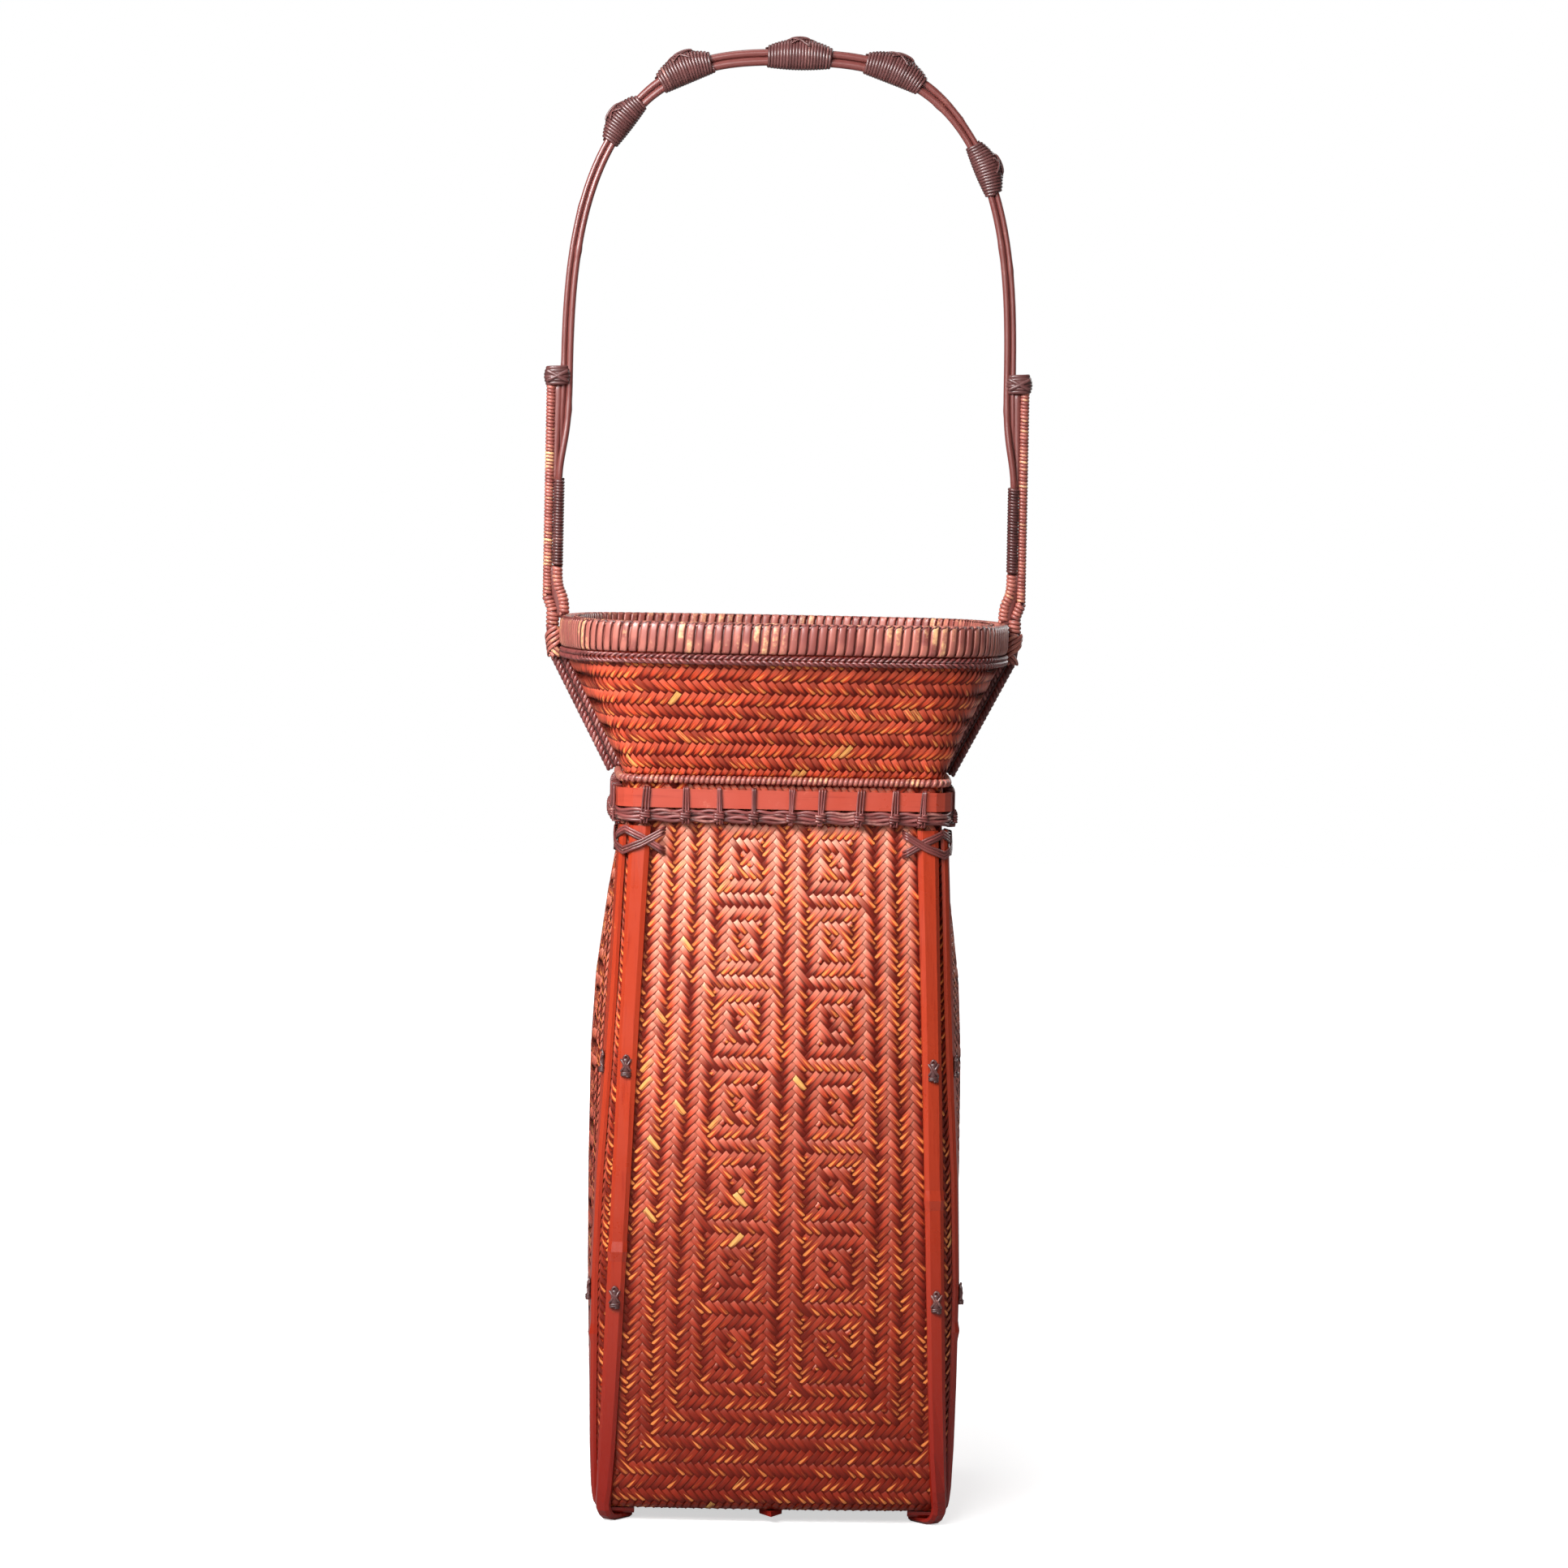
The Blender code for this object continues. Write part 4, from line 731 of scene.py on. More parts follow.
def finish_colour(settings, given):
    """A finish's own colour, or a colour of the settings or a share of it."""
    if isinstance(given, str):
        return tuple(getattr(settings, given))
    if isinstance(given[0], str):
        return tuple(part * given[1] for part in getattr(settings, given[0]))
    return given


def material(name, settings):
    """Return one of the basket's materials, made from its finish and the settings."""
    if name not in MATERIALS:
        group, colours, values, surface = FINISHES[name]
        colours = {socket: finish_colour(settings, given) for socket, given in colours.items()}
        values = {socket: getattr(settings, given) if isinstance(given, str) else given
                  for socket, given in values.items()}
        MATERIALS[name] = finish_material(name, group, colours, values, *surface)
    return MATERIALS[name]


def paint(node, made):
    """Give a carried-over CAD node a finished material."""
    slots = bpy.data.objects[node].material_slots
    for index in range(len(slots)):
        slots[index].material = made


COLUMNS = 336
ROWS = 163
ROW_STEP = 0.001806
BACKING_POINTS = 168
# The backings take a dark tone: painted shade that shows in the gaps between the strips
BACKING_SHADE_TONE = 0.05
MOUTH_COLUMNS = 352
MOUTH_ROWS = 28
MOUTH_FIRST = 0.298635
MOUTH_STEP = 0.00171
FLOOR_STRIPS = 76
FLOOR_INSET = 0.0028
FLOOR_UNDER = 0.0002
FLOOR_OVER = 0.0024
FLOOR_BACKING = (0.0007, 0.0019)
FLOOR_BACKING_INSET = 0.0042
BODY_BACKING = (-0.00055, -0.0015)
MOUTH_BACKING = (-0.0005, -0.0010)
MOUTH_INSIDE_OFFSET = 0.0014
INSIDE_OFFSET = 0.0019
MOTIF_SIDE = 12
MOTIF_SHIFT = 2
MOTIF_FIRST = 36
MOTIF_HALF = 9
FLOAT_LENGTH = 3


class StripSizes:
    """Sizes of the plaited strips, in metres but for the two shares of a crossing."""

    def __init__(self, settings, relief=1.0):
        self.tuck = 0.30
        self.cover = settings.strip_cover
        self.dip = settings.strip_dip * relief
        self.shoulder = settings.strip_dip * 0.22 * relief
        self.rise = settings.strip_dip * 0.50 * relief
        self.crown = settings.strip_dip * 0.12 * relief


def body_rule(column, row):
    """Concentric squares: whether the rising strip is on top at a crossing."""
    per_side = COLUMNS // 4
    x = column % per_side - per_side // 2 - MOTIF_SHIFT
    across = np.abs(np.abs(x) - MOTIF_SIDE)
    period = 2 * MOTIF_HALF
    upward = np.abs((row - MOTIF_FIRST + MOTIF_HALF) % period - MOTIF_HALF)
    last = MOTIF_FIRST + 6 * period
    upward = np.where(row < MOTIF_FIRST - MOTIF_HALF, MOTIF_FIRST - row, upward)
    upward = np.where(row > last + MOTIF_HALF, row - last, upward)
    ring = np.maximum(across, upward)
    return (ring + 1.5) // FLOAT_LENGTH % 2 == 0


def twill_rule(column, row):
    """Level herringbone rows."""
    return (row + 1.5) // FLOAT_LENGTH % 2 == 0


def wall_surface(level_of, heights, columns, offset=0.0, drawn_in=None):
    """Crossings of a plaited wall, ring by ring."""
    rings = []
    for index, height in enumerate(heights):
        points, normals = level_path(level_of(height), height, 0.0, 4.0, columns)
        ring = points + normals * offset
        if drawn_in is not None:
            ring[:, :2] -= normals[:, :2] * drawn_in[index]
        rings.append(ring)
    return Surface(np.stack(rings), True)


def strip_tones(strips, low=0.1, high=0.95):
    """A tone for each strip of both ways."""
    return [low + (high - low) * RNG.random(strips) for _ in range(2)]


def edge_draw(heights):
    """How far the wall draws in where it turns under the floor."""
    near = np.clip((heights - FLOOR_BOTTOM) / 0.005, 0.0, 1.0)
    return 0.0035 * (1.0 - np.sqrt(1.0 - (1.0 - near) ** 2)) if np.ndim(near) else 0.0


class BASKET_OT_body(bpy.types.Operator):
    """Plait the body: four sides, the inside, the floor and the dark backing behind the strips, painted shade
    in the gaps between them
    """

    bl_idname = "basket.body"
    bl_label = "Body weave"
    bl_options = {"REGISTER", "UNDO"}

    def execute(self, context):
        settings = context.scene.basket
        heights = FLOOR_BOTTOM + ROW_STEP * np.arange(ROWS)
        sizes = StripSizes(settings)
        tones = strip_tones(COLUMNS)
        surface = wall_surface(body_level, heights, COLUMNS, 0.0, edge_draw(heights))
        sides = plait(surface, body_rule, sizes, tones, lambda column: column // (COLUMNS // 4))
        outer = material(PLAITED, settings)
        for side, builder in sides.items():
            name = "weave_" + ("front", "right", "back", "left")[side]
            builder.make(name, outer, slot="plaited_bamboo", nodes=("body_weave",))
        inner_heights = heights[6::2]
        surface = wall_surface(body_level, inner_heights, COLUMNS // 2, -INSIDE_OFFSET)
        inside = plait(surface, twill_rule, StripSizes(settings, 0.8), strip_tones(COLUMNS), None, True)
        inside[0].make("weave_inside", material(INNER, settings), slot="plaited_bamboo",
                       nodes=("body_weave",))
        floor_level = body_level(FLOOR_BOTTOM)
        steps = np.linspace(-1.0, 1.0, FLOOR_STRIPS + 1)
        across, along = np.meshgrid(-steps, steps)
        reach = floor_level.half - FLOOR_INSET
        x = across * (reach + floor_level.bow * (1.0 - along**2))
        y = along * (reach + floor_level.bow * (1.0 - across**2))
        corner = 1.0 - 0.022 * np.abs(across * along) ** 8
        for height, label, turned in ((FLOOR_BOTTOM + FLOOR_UNDER, "under", 1.0),
                                      (FLOOR_BOTTOM + FLOOR_OVER, "over", -1.0)):
            points = np.stack((x * turned * corner, y * corner, np.full(x.shape, height)), -1)
            surface = Surface(points, False)
            made = plait(surface, twill_rule, StripSizes(settings, 0.5), strip_tones(2 * FLOOR_STRIPS), None)
            made[0].make("weave_floor_" + label, outer if turned > 0 else material(INNER, settings),
                         slot="plaited_bamboo", nodes=("body_weave",))
        # Dark backing behind the body's strips and over the floor: painted shade in the gaps
        shell = Builder()
        rings = []
        levels = [FLOOR_BOTTOM + 0.0006, *np.linspace(FLOOR_BOTTOM + 0.003, BODY_TOP, 40)]
        for offset, order in zip(BODY_BACKING, (levels, levels[::-1])):
            for height in order:
                draw = float(edge_draw(np.array([height]))[0])
                around = level_path(body_level(height), height, count=BACKING_POINTS, offset=offset - draw)
                rings.append(around[0])
        closed_shell(shell, rings, BACKING_SHADE_TONE)
        floor = Builder()
        rings = []
        for above, order in zip(FLOOR_BACKING, (1, -1)):
            edge = level_path(floor_level, FLOOR_BOTTOM + above, count=BACKING_POINTS,
                              offset=-FLOOR_BACKING_INSET)[0]
            shares = np.linspace(1.0, 0.002, 8)
            ring_set = [np.concatenate((edge[:, :2] * share, edge[:, 2:]), 1) for share in shares]
            rings.extend(ring_set[::order])
        closed_shell(floor, rings, BACKING_SHADE_TONE)
        shell.make("weave_backing", material(INNER, settings), slot="plaited_bamboo", nodes=("body_weave",))
        floor.make("weave_floor_backing", material(INNER, settings), slot="plaited_bamboo",
                   nodes=("body_weave",))
        return {"FINISHED"}


class BASKET_OT_mouth(bpy.types.Operator):
    """Plait the flared mouth: outside, inside and the dark backing between them, painted shade in the gaps
    between the strips
    """

    bl_idname = "basket.mouth"
    bl_label = "Mouth weave"
    bl_options = {"REGISTER", "UNDO"}

    def execute(self, context):
        settings = context.scene.basket
        heights = MOUTH_FIRST + MOUTH_STEP * np.arange(MOUTH_ROWS)
        surface = wall_surface(mouth_level, heights, MOUTH_COLUMNS)
        outer = plait(surface, twill_rule, StripSizes(settings), strip_tones(MOUTH_COLUMNS))
        outer[0].make("mouth_outside", material(PLAITED, settings), slot="plaited_bamboo",
                      nodes=("mouth_weave",))
        inner_heights = np.append(heights, heights[-1] + MOUTH_STEP * np.arange(1, 9))
        surface = wall_surface(mouth_level, inner_heights, MOUTH_COLUMNS, -MOUTH_INSIDE_OFFSET)
        inner = plait(surface, twill_rule, StripSizes(settings, 0.7), strip_tones(MOUTH_COLUMNS), None, True)
        inner[0].make("mouth_inside", material(PLAITED, settings), slot="plaited_bamboo",
                      nodes=("mouth_weave",))
        shell = Builder()
        levels = np.linspace(MOUTH_BOTTOM + 0.0002, MOUTH_TOP, 14)
        rings = []
        for offset, order in zip(MOUTH_BACKING, (levels, levels[::-1])):
            for height in order:
                rings.append(level_path(mouth_level(height), height, count=BACKING_POINTS, offset=offset)[0])
        closed_shell(shell, rings, BACKING_SHADE_TONE)
        shell.make("mouth_backing", material(INNER, settings), slot="plaited_bamboo", nodes=("mouth_weave",))
        return {"FINISHED"}


RIM_HALF = 0.0812
RIM_MIDDLE = (RIM_BOTTOM + RIM_TOP) / 2.0
RIM_OUTER = (0.0020, 0.0018)
RIM_INNER = (-0.0031, 0.0010)
RIM_PITCH = 0.0038
RIM_STRIP = 0.00165
RIM_CORE_INSETS = (0.0011, 0.00075)
EDGE_DROP = 0.0012
EDGE_OFFSET = 0.0024
EDGE_REACH = 0.00035
EDGE_PITCH = 0.0076
TWIST_STRAND = 0.00062
STRIP_THICKNESS = 0.00032
BRAID_HEIGHT = 0.3458
BRAID_OFFSET = 0.0026
BRAID_SPREAD = 0.00095
BRAID_REACH = 0.00055
BRAID_PITCH = 0.0052
HOOP_HEIGHT = 0.2971
HOOP_HALF = 0.00125
HOOP_PITCH = 0.0021
HOOP_OFFSET = 0.0021
HOOP_STRAND = (0.00085, 0.0005)
HOOP_CORE = 0.0012
NECK_OUT = 0.0650
BAND_OUTSIDE = 0.0694
BUNDLE_BOTTOM = 0.2802
BUNDLE_STRANDS = 4
BUNDLE_FIRST = 0.0006
BUNDLE_STEP = 0.00125
BUNDLE_OFFSET = 0.0031
BUNDLE_WAVE = 0.00035
BUNDLE_STRAND = (0.00075, 0.00060)
BUNDLE_CORE = (0.0023, 0.0013)
BAND_TOP = 0.2933
TIES_A_SIDE = 9
TIE_SPREAD = 0.0072
BAND_STRAND = (0.00042, 0.00036)
SEAM = 2.5
NEAR_FULL = 3.9999


def whole_ring(level, height, offset=0.0, count=700):
    """Points and normals all round a level, from a seam at the back."""
    return level_path(level, height, SEAM, SEAM + NEAR_FULL, count, offset)


def ring_length(points):
    """Length of a closed ring of points."""
    return float(np.linalg.norm(np.diff(np.concatenate((points, points[:1])), axis=0), axis=1).sum())


def rope(builder, spine, out, side, reach, radius, pitch, strands=2, squash=1.0, tones=(0.1, 0.8)):
    """Twist a few strands round each other along a spine."""
    length = float(np.linalg.norm(np.diff(spine, axis=0), axis=1).sum())
    for strand in range(strands):
        wind(builder, spine, out, side, reach, reach * squash, length / pitch, radius, radius,
             16, 7, 2.0, 2.0 * math.pi * strand / strands, tones)


def core(builder, points, outward, wide, thick, tone=0.0):
    """Dark core inside a winding."""
    sweep(builder, points, outward, wide, thick, 10, tone=tone, spare=0.0)


def laid_line(level_of, heights, turns):
    """Points and outward normals of a line laid on the basket, given its heights and places round it."""
    tables = [level_path(level_of(z), z, t, t + 0.001, 2) for z, t in zip(heights, turns)]
    return np.stack([table[0][0] for table in tables]), np.stack([table[1][0] for table in tables])


class BASKET_OT_rim(bpy.types.Operator):
    """Wrap the rim's two hoops with flat strips, and twine the braid under them"""

    bl_idname = "basket.rim"
    bl_label = "Rim"
    bl_options = {"REGISTER", "UNDO"}

    def execute(self, context):
        settings = context.scene.basket
        level = Level(RIM_HALF, MOUTH_BOW, MOUTH_CORNER)
        up = np.array((0.0, 0.0, 1.0))
        tall = (RIM_TOP - RIM_BOTTOM) / 2.0
        for name, (offset, thick), node in (("outer", RIM_OUTER, "rim_outer_hoop"),
                                            ("inner", RIM_INNER, "rim_inner_hoop")):
            builder = Builder()
            spine, normals = whole_ring(level, RIM_MIDDLE, offset)
            turns = round(ring_length(spine) / RIM_PITCH)
            wind(builder, spine, normals, up, thick - STRIP_THICKNESS, tall - STRIP_THICKNESS, turns,
                 RIM_STRIP, STRIP_THICKNESS, 20, 6, 2.8, tones=(0.0, 1.0))
            core(builder, spine, normals, tall - RIM_CORE_INSETS[0], thick - RIM_CORE_INSETS[1], 0.25)
            builder.make("rim_wraps_" + name, material(WRAPPING, settings), slot="wrapped_rattan",
                         nodes=(node,))
        edge = Builder()
        spine, normals = whole_ring(level, RIM_TOP - EDGE_DROP, EDGE_OFFSET)
        rope(edge, spine, normals, up, EDGE_REACH, TWIST_STRAND, EDGE_PITCH, 2, 1.6, (0.0, 0.5))
        edge.make("rim_edge_twist", material(RATTAN, settings), slot="wrapped_rattan",
                  nodes=("rim_outer_hoop",))
        braid = Builder()
        for lean in (1.0, -1.0):
            spine, normals = whole_ring(level, BRAID_HEIGHT + lean * BRAID_SPREAD, BRAID_OFFSET)
            rope(braid, spine, normals, up * lean, BRAID_REACH, TWIST_STRAND, BRAID_PITCH, 2, 1.0, (0.2, 1.0))
        braid.make("rim_braid_strands", material(RATTAN, settings), slot="wrapped_rattan",
                   nodes=("rim_braid",))
        return {"FINISHED"}


class BASKET_OT_neck(bpy.types.Operator):
    """Wind the neck: the bundle's strands, the ties over the band and the hoop above it"""

    bl_idname = "basket.neck"
    bl_label = "Neck"
    bl_options = {"REGISTER", "UNDO"}

    def execute(self, context):
        settings = context.scene.basket
        level = Level(NECK_HALF, END_BOW, NECK_CORNER)
        up = np.array((0.0, 0.0, 1.0))
        rattan = material(RATTAN, settings)
        bundle = Builder()
        for strand in range(BUNDLE_STRANDS):
            height = BUNDLE_BOTTOM + BUNDLE_FIRST + BUNDLE_STEP * strand
            spine, normals = whole_ring(level, height, BUNDLE_OFFSET + 0.0003 * (strand % 2))
            share = np.linspace(0.0, 1.0, len(spine))
            wave = np.sin(2.0 * math.pi * (36 + 5 * strand) * share + 1.7 * strand) * BUNDLE_WAVE
            spine = spine + up * wave[:, None] + normals * (np.roll(wave, 3)[:, None] * 0.6)
            sweep(bundle, spine, normals, *BUNDLE_STRAND, 8, tone=0.4 + 0.5 * (strand % 2),
                  spare=0.5 + 0.45 * np.sin(share * 90.0 + strand))
        spine, normals = whole_ring(level, BUNDLE_BOTTOM + 0.0025, 0.0017)
        core(bundle, spine, normals, *BUNDLE_CORE)
        bundle.make("neck_bundle_strands", rattan, slot="dark_rattan", nodes=("neck_bundle",))
        hoop = Builder()
        spine, normals = whole_ring(level, HOOP_HEIGHT, HOOP_OFFSET)
        wind(hoop, spine, normals, up, HOOP_HALF, HOOP_HALF, ring_length(spine) / HOOP_PITCH,
             *HOOP_STRAND, 12, 6, 2.0)
        core(hoop, spine, normals, HOOP_CORE, HOOP_CORE)
        hoop.make("neck_hoop_wound", material(WRAPPING, settings), slot="dark_rattan", nodes=("neck_hoop",))
        ties = Builder()
        outside = BAND_OUTSIDE - NECK_OUT
        for side in range(4):
            for number in range(TIES_A_SIDE):
                middle = side + (number + 0.45 + 0.25 * RNG.random()) / TIES_A_SIDE
                slant = 0.012 * (RNG.random() - 0.35)
                for strand in (-0.9, 0.1, 1.0):
                    share = np.linspace(0.0, 1.0, 15)
                    climb = np.sin(np.clip((share - 0.5) * 1.25, -0.5, 0.5) * math.pi)
                    height = (BUNDLE_BOTTOM + BAND_TOP) / 2.0
                    height = height + climb * (BAND_TOP - BUNDLE_BOTTOM + 0.0012) / 2.0
                    inward = np.clip(np.abs(share - 0.5) * 2.0 - 0.72, 0.0, 1.0) / 0.28
                    offset = outside + 0.0006 - inward * 0.0034
                    bulge = np.where(height < 0.2856, 0.0004, 0.0)
                    apart = strand * TIE_SPREAD * (1.0 + 0.4 * np.sin(share * 3.0 + number))
                    turn = middle + apart + slant * (share - 0.5) * 2.0
                    points, normals = laid_line(lambda z: level, height, turn)
                    points = points + normals * (offset + bulge)[:, None]
                    sweep(ties, points, normals, *BAND_STRAND, 7, tone=RNG.random(), spare=RNG.random())
                points, normals = level_path(level, 0.2828, middle - 0.001, middle + 0.001, 2,
                                             outside + 0.0011)
                spine = points[0] + np.linspace(-1.0, 1.0, 5)[:, None] * 0.0016 * up
                along = unit(np.cross(normals[0], up))
                wind(ties, spine, normals[0], along, 0.0007, 0.0019, 3, 0.00055, 0.00045, 14, 6, 2.4)
        ties.make("neck_ties", rattan, slot="dark_rattan", nodes=("neck_lashing",))
        paint("neck_band", material(BAND, settings))
        return {"FINISHED"}


TIE_NODES = [f"tie_{side}_{post}_{number}" for side in ("front", "right", "back", "left")
             for post in "ab" for number in (1, 2)]
OUTWARD = {"front": (0.0, -1.0, 0.0), "right": (1.0, 0.0, 0.0), "back": (0.0, 1.0, 0.0),
           "left": (-1.0, 0.0, 0.0)}

# Ties, in metres: how far they sink into the post, and half the width and thickness of a strand
TIE_SINK = 0.0006
TIE_STRAND = (0.00052, 0.00042)
TIE_LOOP = 0.00048
TIE_CORE = 0.0014
TIE_HALF = 0.0017
TIE_APART = 0.00045
TIE_FOOT = -0.0024
TIE_HEIGHT = 0.0052
TIE_WINDING = (0.00165, 2.5, 0.0006, 0.0005)


class BASKET_OT_posts(bpy.types.Operator):
    """Finish the posts and laths, and knot a small rattan tie at each of the posts' fixings"""

    bl_idname = "basket.posts"
    bl_label = "Posts and ties"
    bl_options = {"REGISTER", "UNDO"}

    def execute(self, context):
        settings = context.scene.basket
        bamboo = material(POSTS, settings)
        for side in OUTWARD:
            for post in "ab":
                paint(f"post_{side}_{post}", bamboo)
        paint("lath_front_back", bamboo)
        paint("lath_crosswise", bamboo)
        rattan = material(KNOTS, settings)
        up = np.array((0.0, 0.0, 1.0))
        for node in TIE_NODES:
            low, high = (np.array(corner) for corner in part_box(node))
            out = np.array(OUTWARD[node.split("_")[1]])
            across = np.cross(up, out)
            centre = (low + high) / 2.0 - out * TIE_SINK
            depth = abs((high - low) @ out) / 2.0
            builder = Builder()

            def local(rows):
                rows = np.array(rows, float)
                return centre + rows[:, :1] * across + rows[:, 1:2] * out + rows[:, 2:] * up

            deep = depth - 0.0009
            for hand in (-1.0, 1.0):
                for shift in (-TIE_APART, TIE_APART):
                    curve = np.linspace(0.0, 1.0, 9)
                    over = 1.9 * np.sin(math.pi * curve) ** 0.7 * (1.0 if hand > 0 else 0.9)
                    rows = np.stack((hand * (TIE_HALF - 2.0 * TIE_HALF * curve) + shift, deep * (over - 1.0),
                                     TIE_FOOT + TIE_HEIGHT * curve), 1)
                    sweep(builder, local(rows), out, *TIE_STRAND, 7, tone=0.5 + 0.5 * RNG.random(), spare=0.9)
            turn = np.linspace(0.0, math.pi, 11)
            rows = np.stack((0.0011 * np.cos(turn), deep * (0.9 * np.sin(turn) - 0.9),
                             0.0022 + 0.0020 * np.sin(turn)), 1)
            sweep(builder, local(rows), out, TIE_LOOP, TIE_LOOP, 7, tone=0.7, spare=0.8)
            spine = centre - up * 0.0033 + np.linspace(-1.0, 1.0, 5)[:, None] * 0.0008 * up
            wind(builder, spine, out, across, depth - 0.0006, *TIE_WINDING, 14, 7, 2.4, tones=(0.0, 0.4))
            middle = np.stack((np.zeros(7), np.full(7, -0.35 * deep), np.linspace(-0.0032, 0.0032, 7)), 1)
            core(builder, local(middle), out, TIE_CORE, 0.65 * depth, 0.3)
            builder.make(node + "_knot", rattan, slot="dark_rattan", nodes=(node,))
        return {"FINISHED"}


LASH_REACH = 0.118
LASH_TOP = 0.2768
LASH_BOTTOM = 0.2682
LASH_OFFSET = 0.0034
LASH_CROSSED = 0.0006
LASH_STEP = 0.00115
LASH_STRAND = (0.00056, 0.00036)
CORNERS = (("front_left", 0), ("front_right", 1), ("back_right", 2), ("back_left", 3))


class BASKET_OT_corner_lashings(bpy.types.Operator):
    """Cross flat bands of rattan over the posts at each corner, under the neck"""

    bl_idname = "basket.corner_lashings"
    bl_label = "Corner lashings"
    bl_options = {"REGISTER", "UNDO"}

    def execute(self, context):
        settings = context.scene.basket
        rattan = material(RATTAN, settings)
        for name, corner in CORNERS:
            builder = Builder()
            for crossed in (0, 1):
                for strand in (-1, 0, 1):
                    share = np.linspace(-1.0, 1.0, 41)
                    fold = np.abs(share) if crossed else 1.0 - np.abs(share)
                    height = LASH_BOTTOM + (LASH_TOP - LASH_BOTTOM) * fold + strand * LASH_STEP
                    turn = corner + LASH_REACH * share
                    tucked = 0.003 * np.clip(np.abs(share) - 0.9, 0.0, 1.0) / 0.1
                    lift = LASH_OFFSET + LASH_CROSSED * crossed - tucked
                    points, normals = laid_line(body_level, height, turn)
                    sweep(builder, points + normals * lift[:, None], normals, *LASH_STRAND, 7,
                          tone=RNG.random(), spare=RNG.random())
            builder.make("corner_bands_" + name, rattan, slot="dark_rattan",
                         nodes=("corner_lashing_" + name,))
        return {"FINISHED"}


ARCH_HALF_SPAN = 0.09243
ARCH_SPRING = 0.4575
ARCH_RISE = 0.135
ARCH_POWER = 2.8
KNOT_ACROSS_SHARES = (-0.765, -0.488, 0.018, 0.446, 0.867)
KNOT_LENGTH_SHARES = (0.80, 0.88, 1.0, 0.95, 0.84)
TOP_KNOT_LENGTH = 0.0265
KNOT_PITCH = 0.00125
LEG_TWIST = 0.0336
LEG_DEPTH = 0.0013
TOP_LOW = 0.562
TOP_BLEND = 0.026
# The two canes: shifts outwards and half widths, down the sides and over the top, and the side in front
CANES = (("outer", (0.00035, 0.0016), (0.00117, 0.0016), 1.0),
         ("inner", (-0.00217, -0.00185), (0.00138, 0.00185), -1.0))
JOINT_FIRST = 0.031
JOINT_STAGGER = 0.017
JOINT_STEP = 0.066
JOINT_RISE = 0.00022
JOINT_LENGTH = 0.0016
# The wound knots: half width and depth at their ends, and how much the arch's top and the swell add
KNOT_HALF = (0.0031, 0.0009, 0.0022)
KNOT_DEEP = (0.0021, 0.0004, 0.0023)
KNOT_OUT = (-0.0010, 0.0009, 0.0011)
KNOT_STRAND = (0.00068, 0.00036)
KNOT_BAND = (0.0008, 0.0004)
KNOT_LOOP = (0.00085, 0.00045)
KNOT_CORE_INSET = 0.0004


def arch_stretch(middle, length, count=60):
    """Points and normals of the handle's arch near a place across it."""
    angle = np.linspace(0.0, math.pi, 4001)
    cosine = np.cos(angle)
    x = -ARCH_HALF_SPAN * np.sign(cosine) * np.abs(cosine) ** (2.0 / ARCH_POWER)
    z = ARCH_SPRING + ARCH_RISE * np.sin(angle) ** (2.0 / ARCH_POWER)
    steps = np.concatenate(((0.0,), np.cumsum(np.hypot(np.diff(x), np.diff(z)))))
    at = steps[np.argmin(np.abs(x - ARCH_HALF_SPAN * middle))]
    places = np.linspace(at - length / 2.0, at + length / 2.0, count)
    x, z = np.interp(places, steps, x), np.interp(places, steps, z)
    points = np.stack((x, np.zeros(count), z), 1)
    along = unit(np.gradient(points, axis=0))
    return points, np.stack((-along[:, 2], np.zeros(count), along[:, 0]), 1)


def top_share(points):
    """How far each point is into the arch's top: 0 down the sides, 1 over the top."""
    share = np.clip((points[:, 2] - TOP_LOW) / TOP_BLEND, 0.0, 1.0)
    return share * share * (3.0 - 2.0 * share)


def cane_line(shifts, depth):
    """Centre line and outward normals of a handle's cane, shifted less down the sides than over the top."""
    share = np.linspace(0.0, 1.0, 14, endpoint=False)
    eased = share * share * (3.0 - 2.0 * share)
    x = -(LEG_HALF_SPAN + (ARCH_HALF_SPAN - LEG_HALF_SPAN) * eased)
    z = LEG_WRAP[1] - 0.002 + (ARCH_SPRING - LEG_WRAP[1] + 0.002) * share
    angle = np.linspace(0.0, math.pi, 4001)
    arch_x = -ARCH_HALF_SPAN * np.sign(np.cos(angle)) * np.abs(np.cos(angle)) ** (2.0 / ARCH_POWER)
    arch_z = ARCH_SPRING + ARCH_RISE * np.sin(angle) ** (2.0 / ARCH_POWER)
    arch = even(np.stack((arch_x, np.zeros(len(angle)), arch_z), 1), 150)
    leg = np.stack((x, np.zeros(len(x)), z), 1)
    line = np.concatenate((leg, arch, (leg * (-1.0, 1.0, 1.0))[::-1]))
    along = unit(np.gradient(line, axis=0))
    out = np.stack((-along[:, 2], np.zeros(len(line)), along[:, 0]), 1)
    risen = np.clip((line[:, 2] - LEG_WRAP[1]) / LEG_TWIST, 0.0, 1.0)
    twist = math.pi / 2.0 * (1.0 - risen * risen * (3.0 - 2.0 * risen))
    shift = shifts[0] + (shifts[1] - shifts[0]) * top_share(line)
    points = line + out * (shift * np.cos(twist))[:, None]
    points[:, 1] += depth * LEG_DEPTH * np.sin(twist)
    return points, out


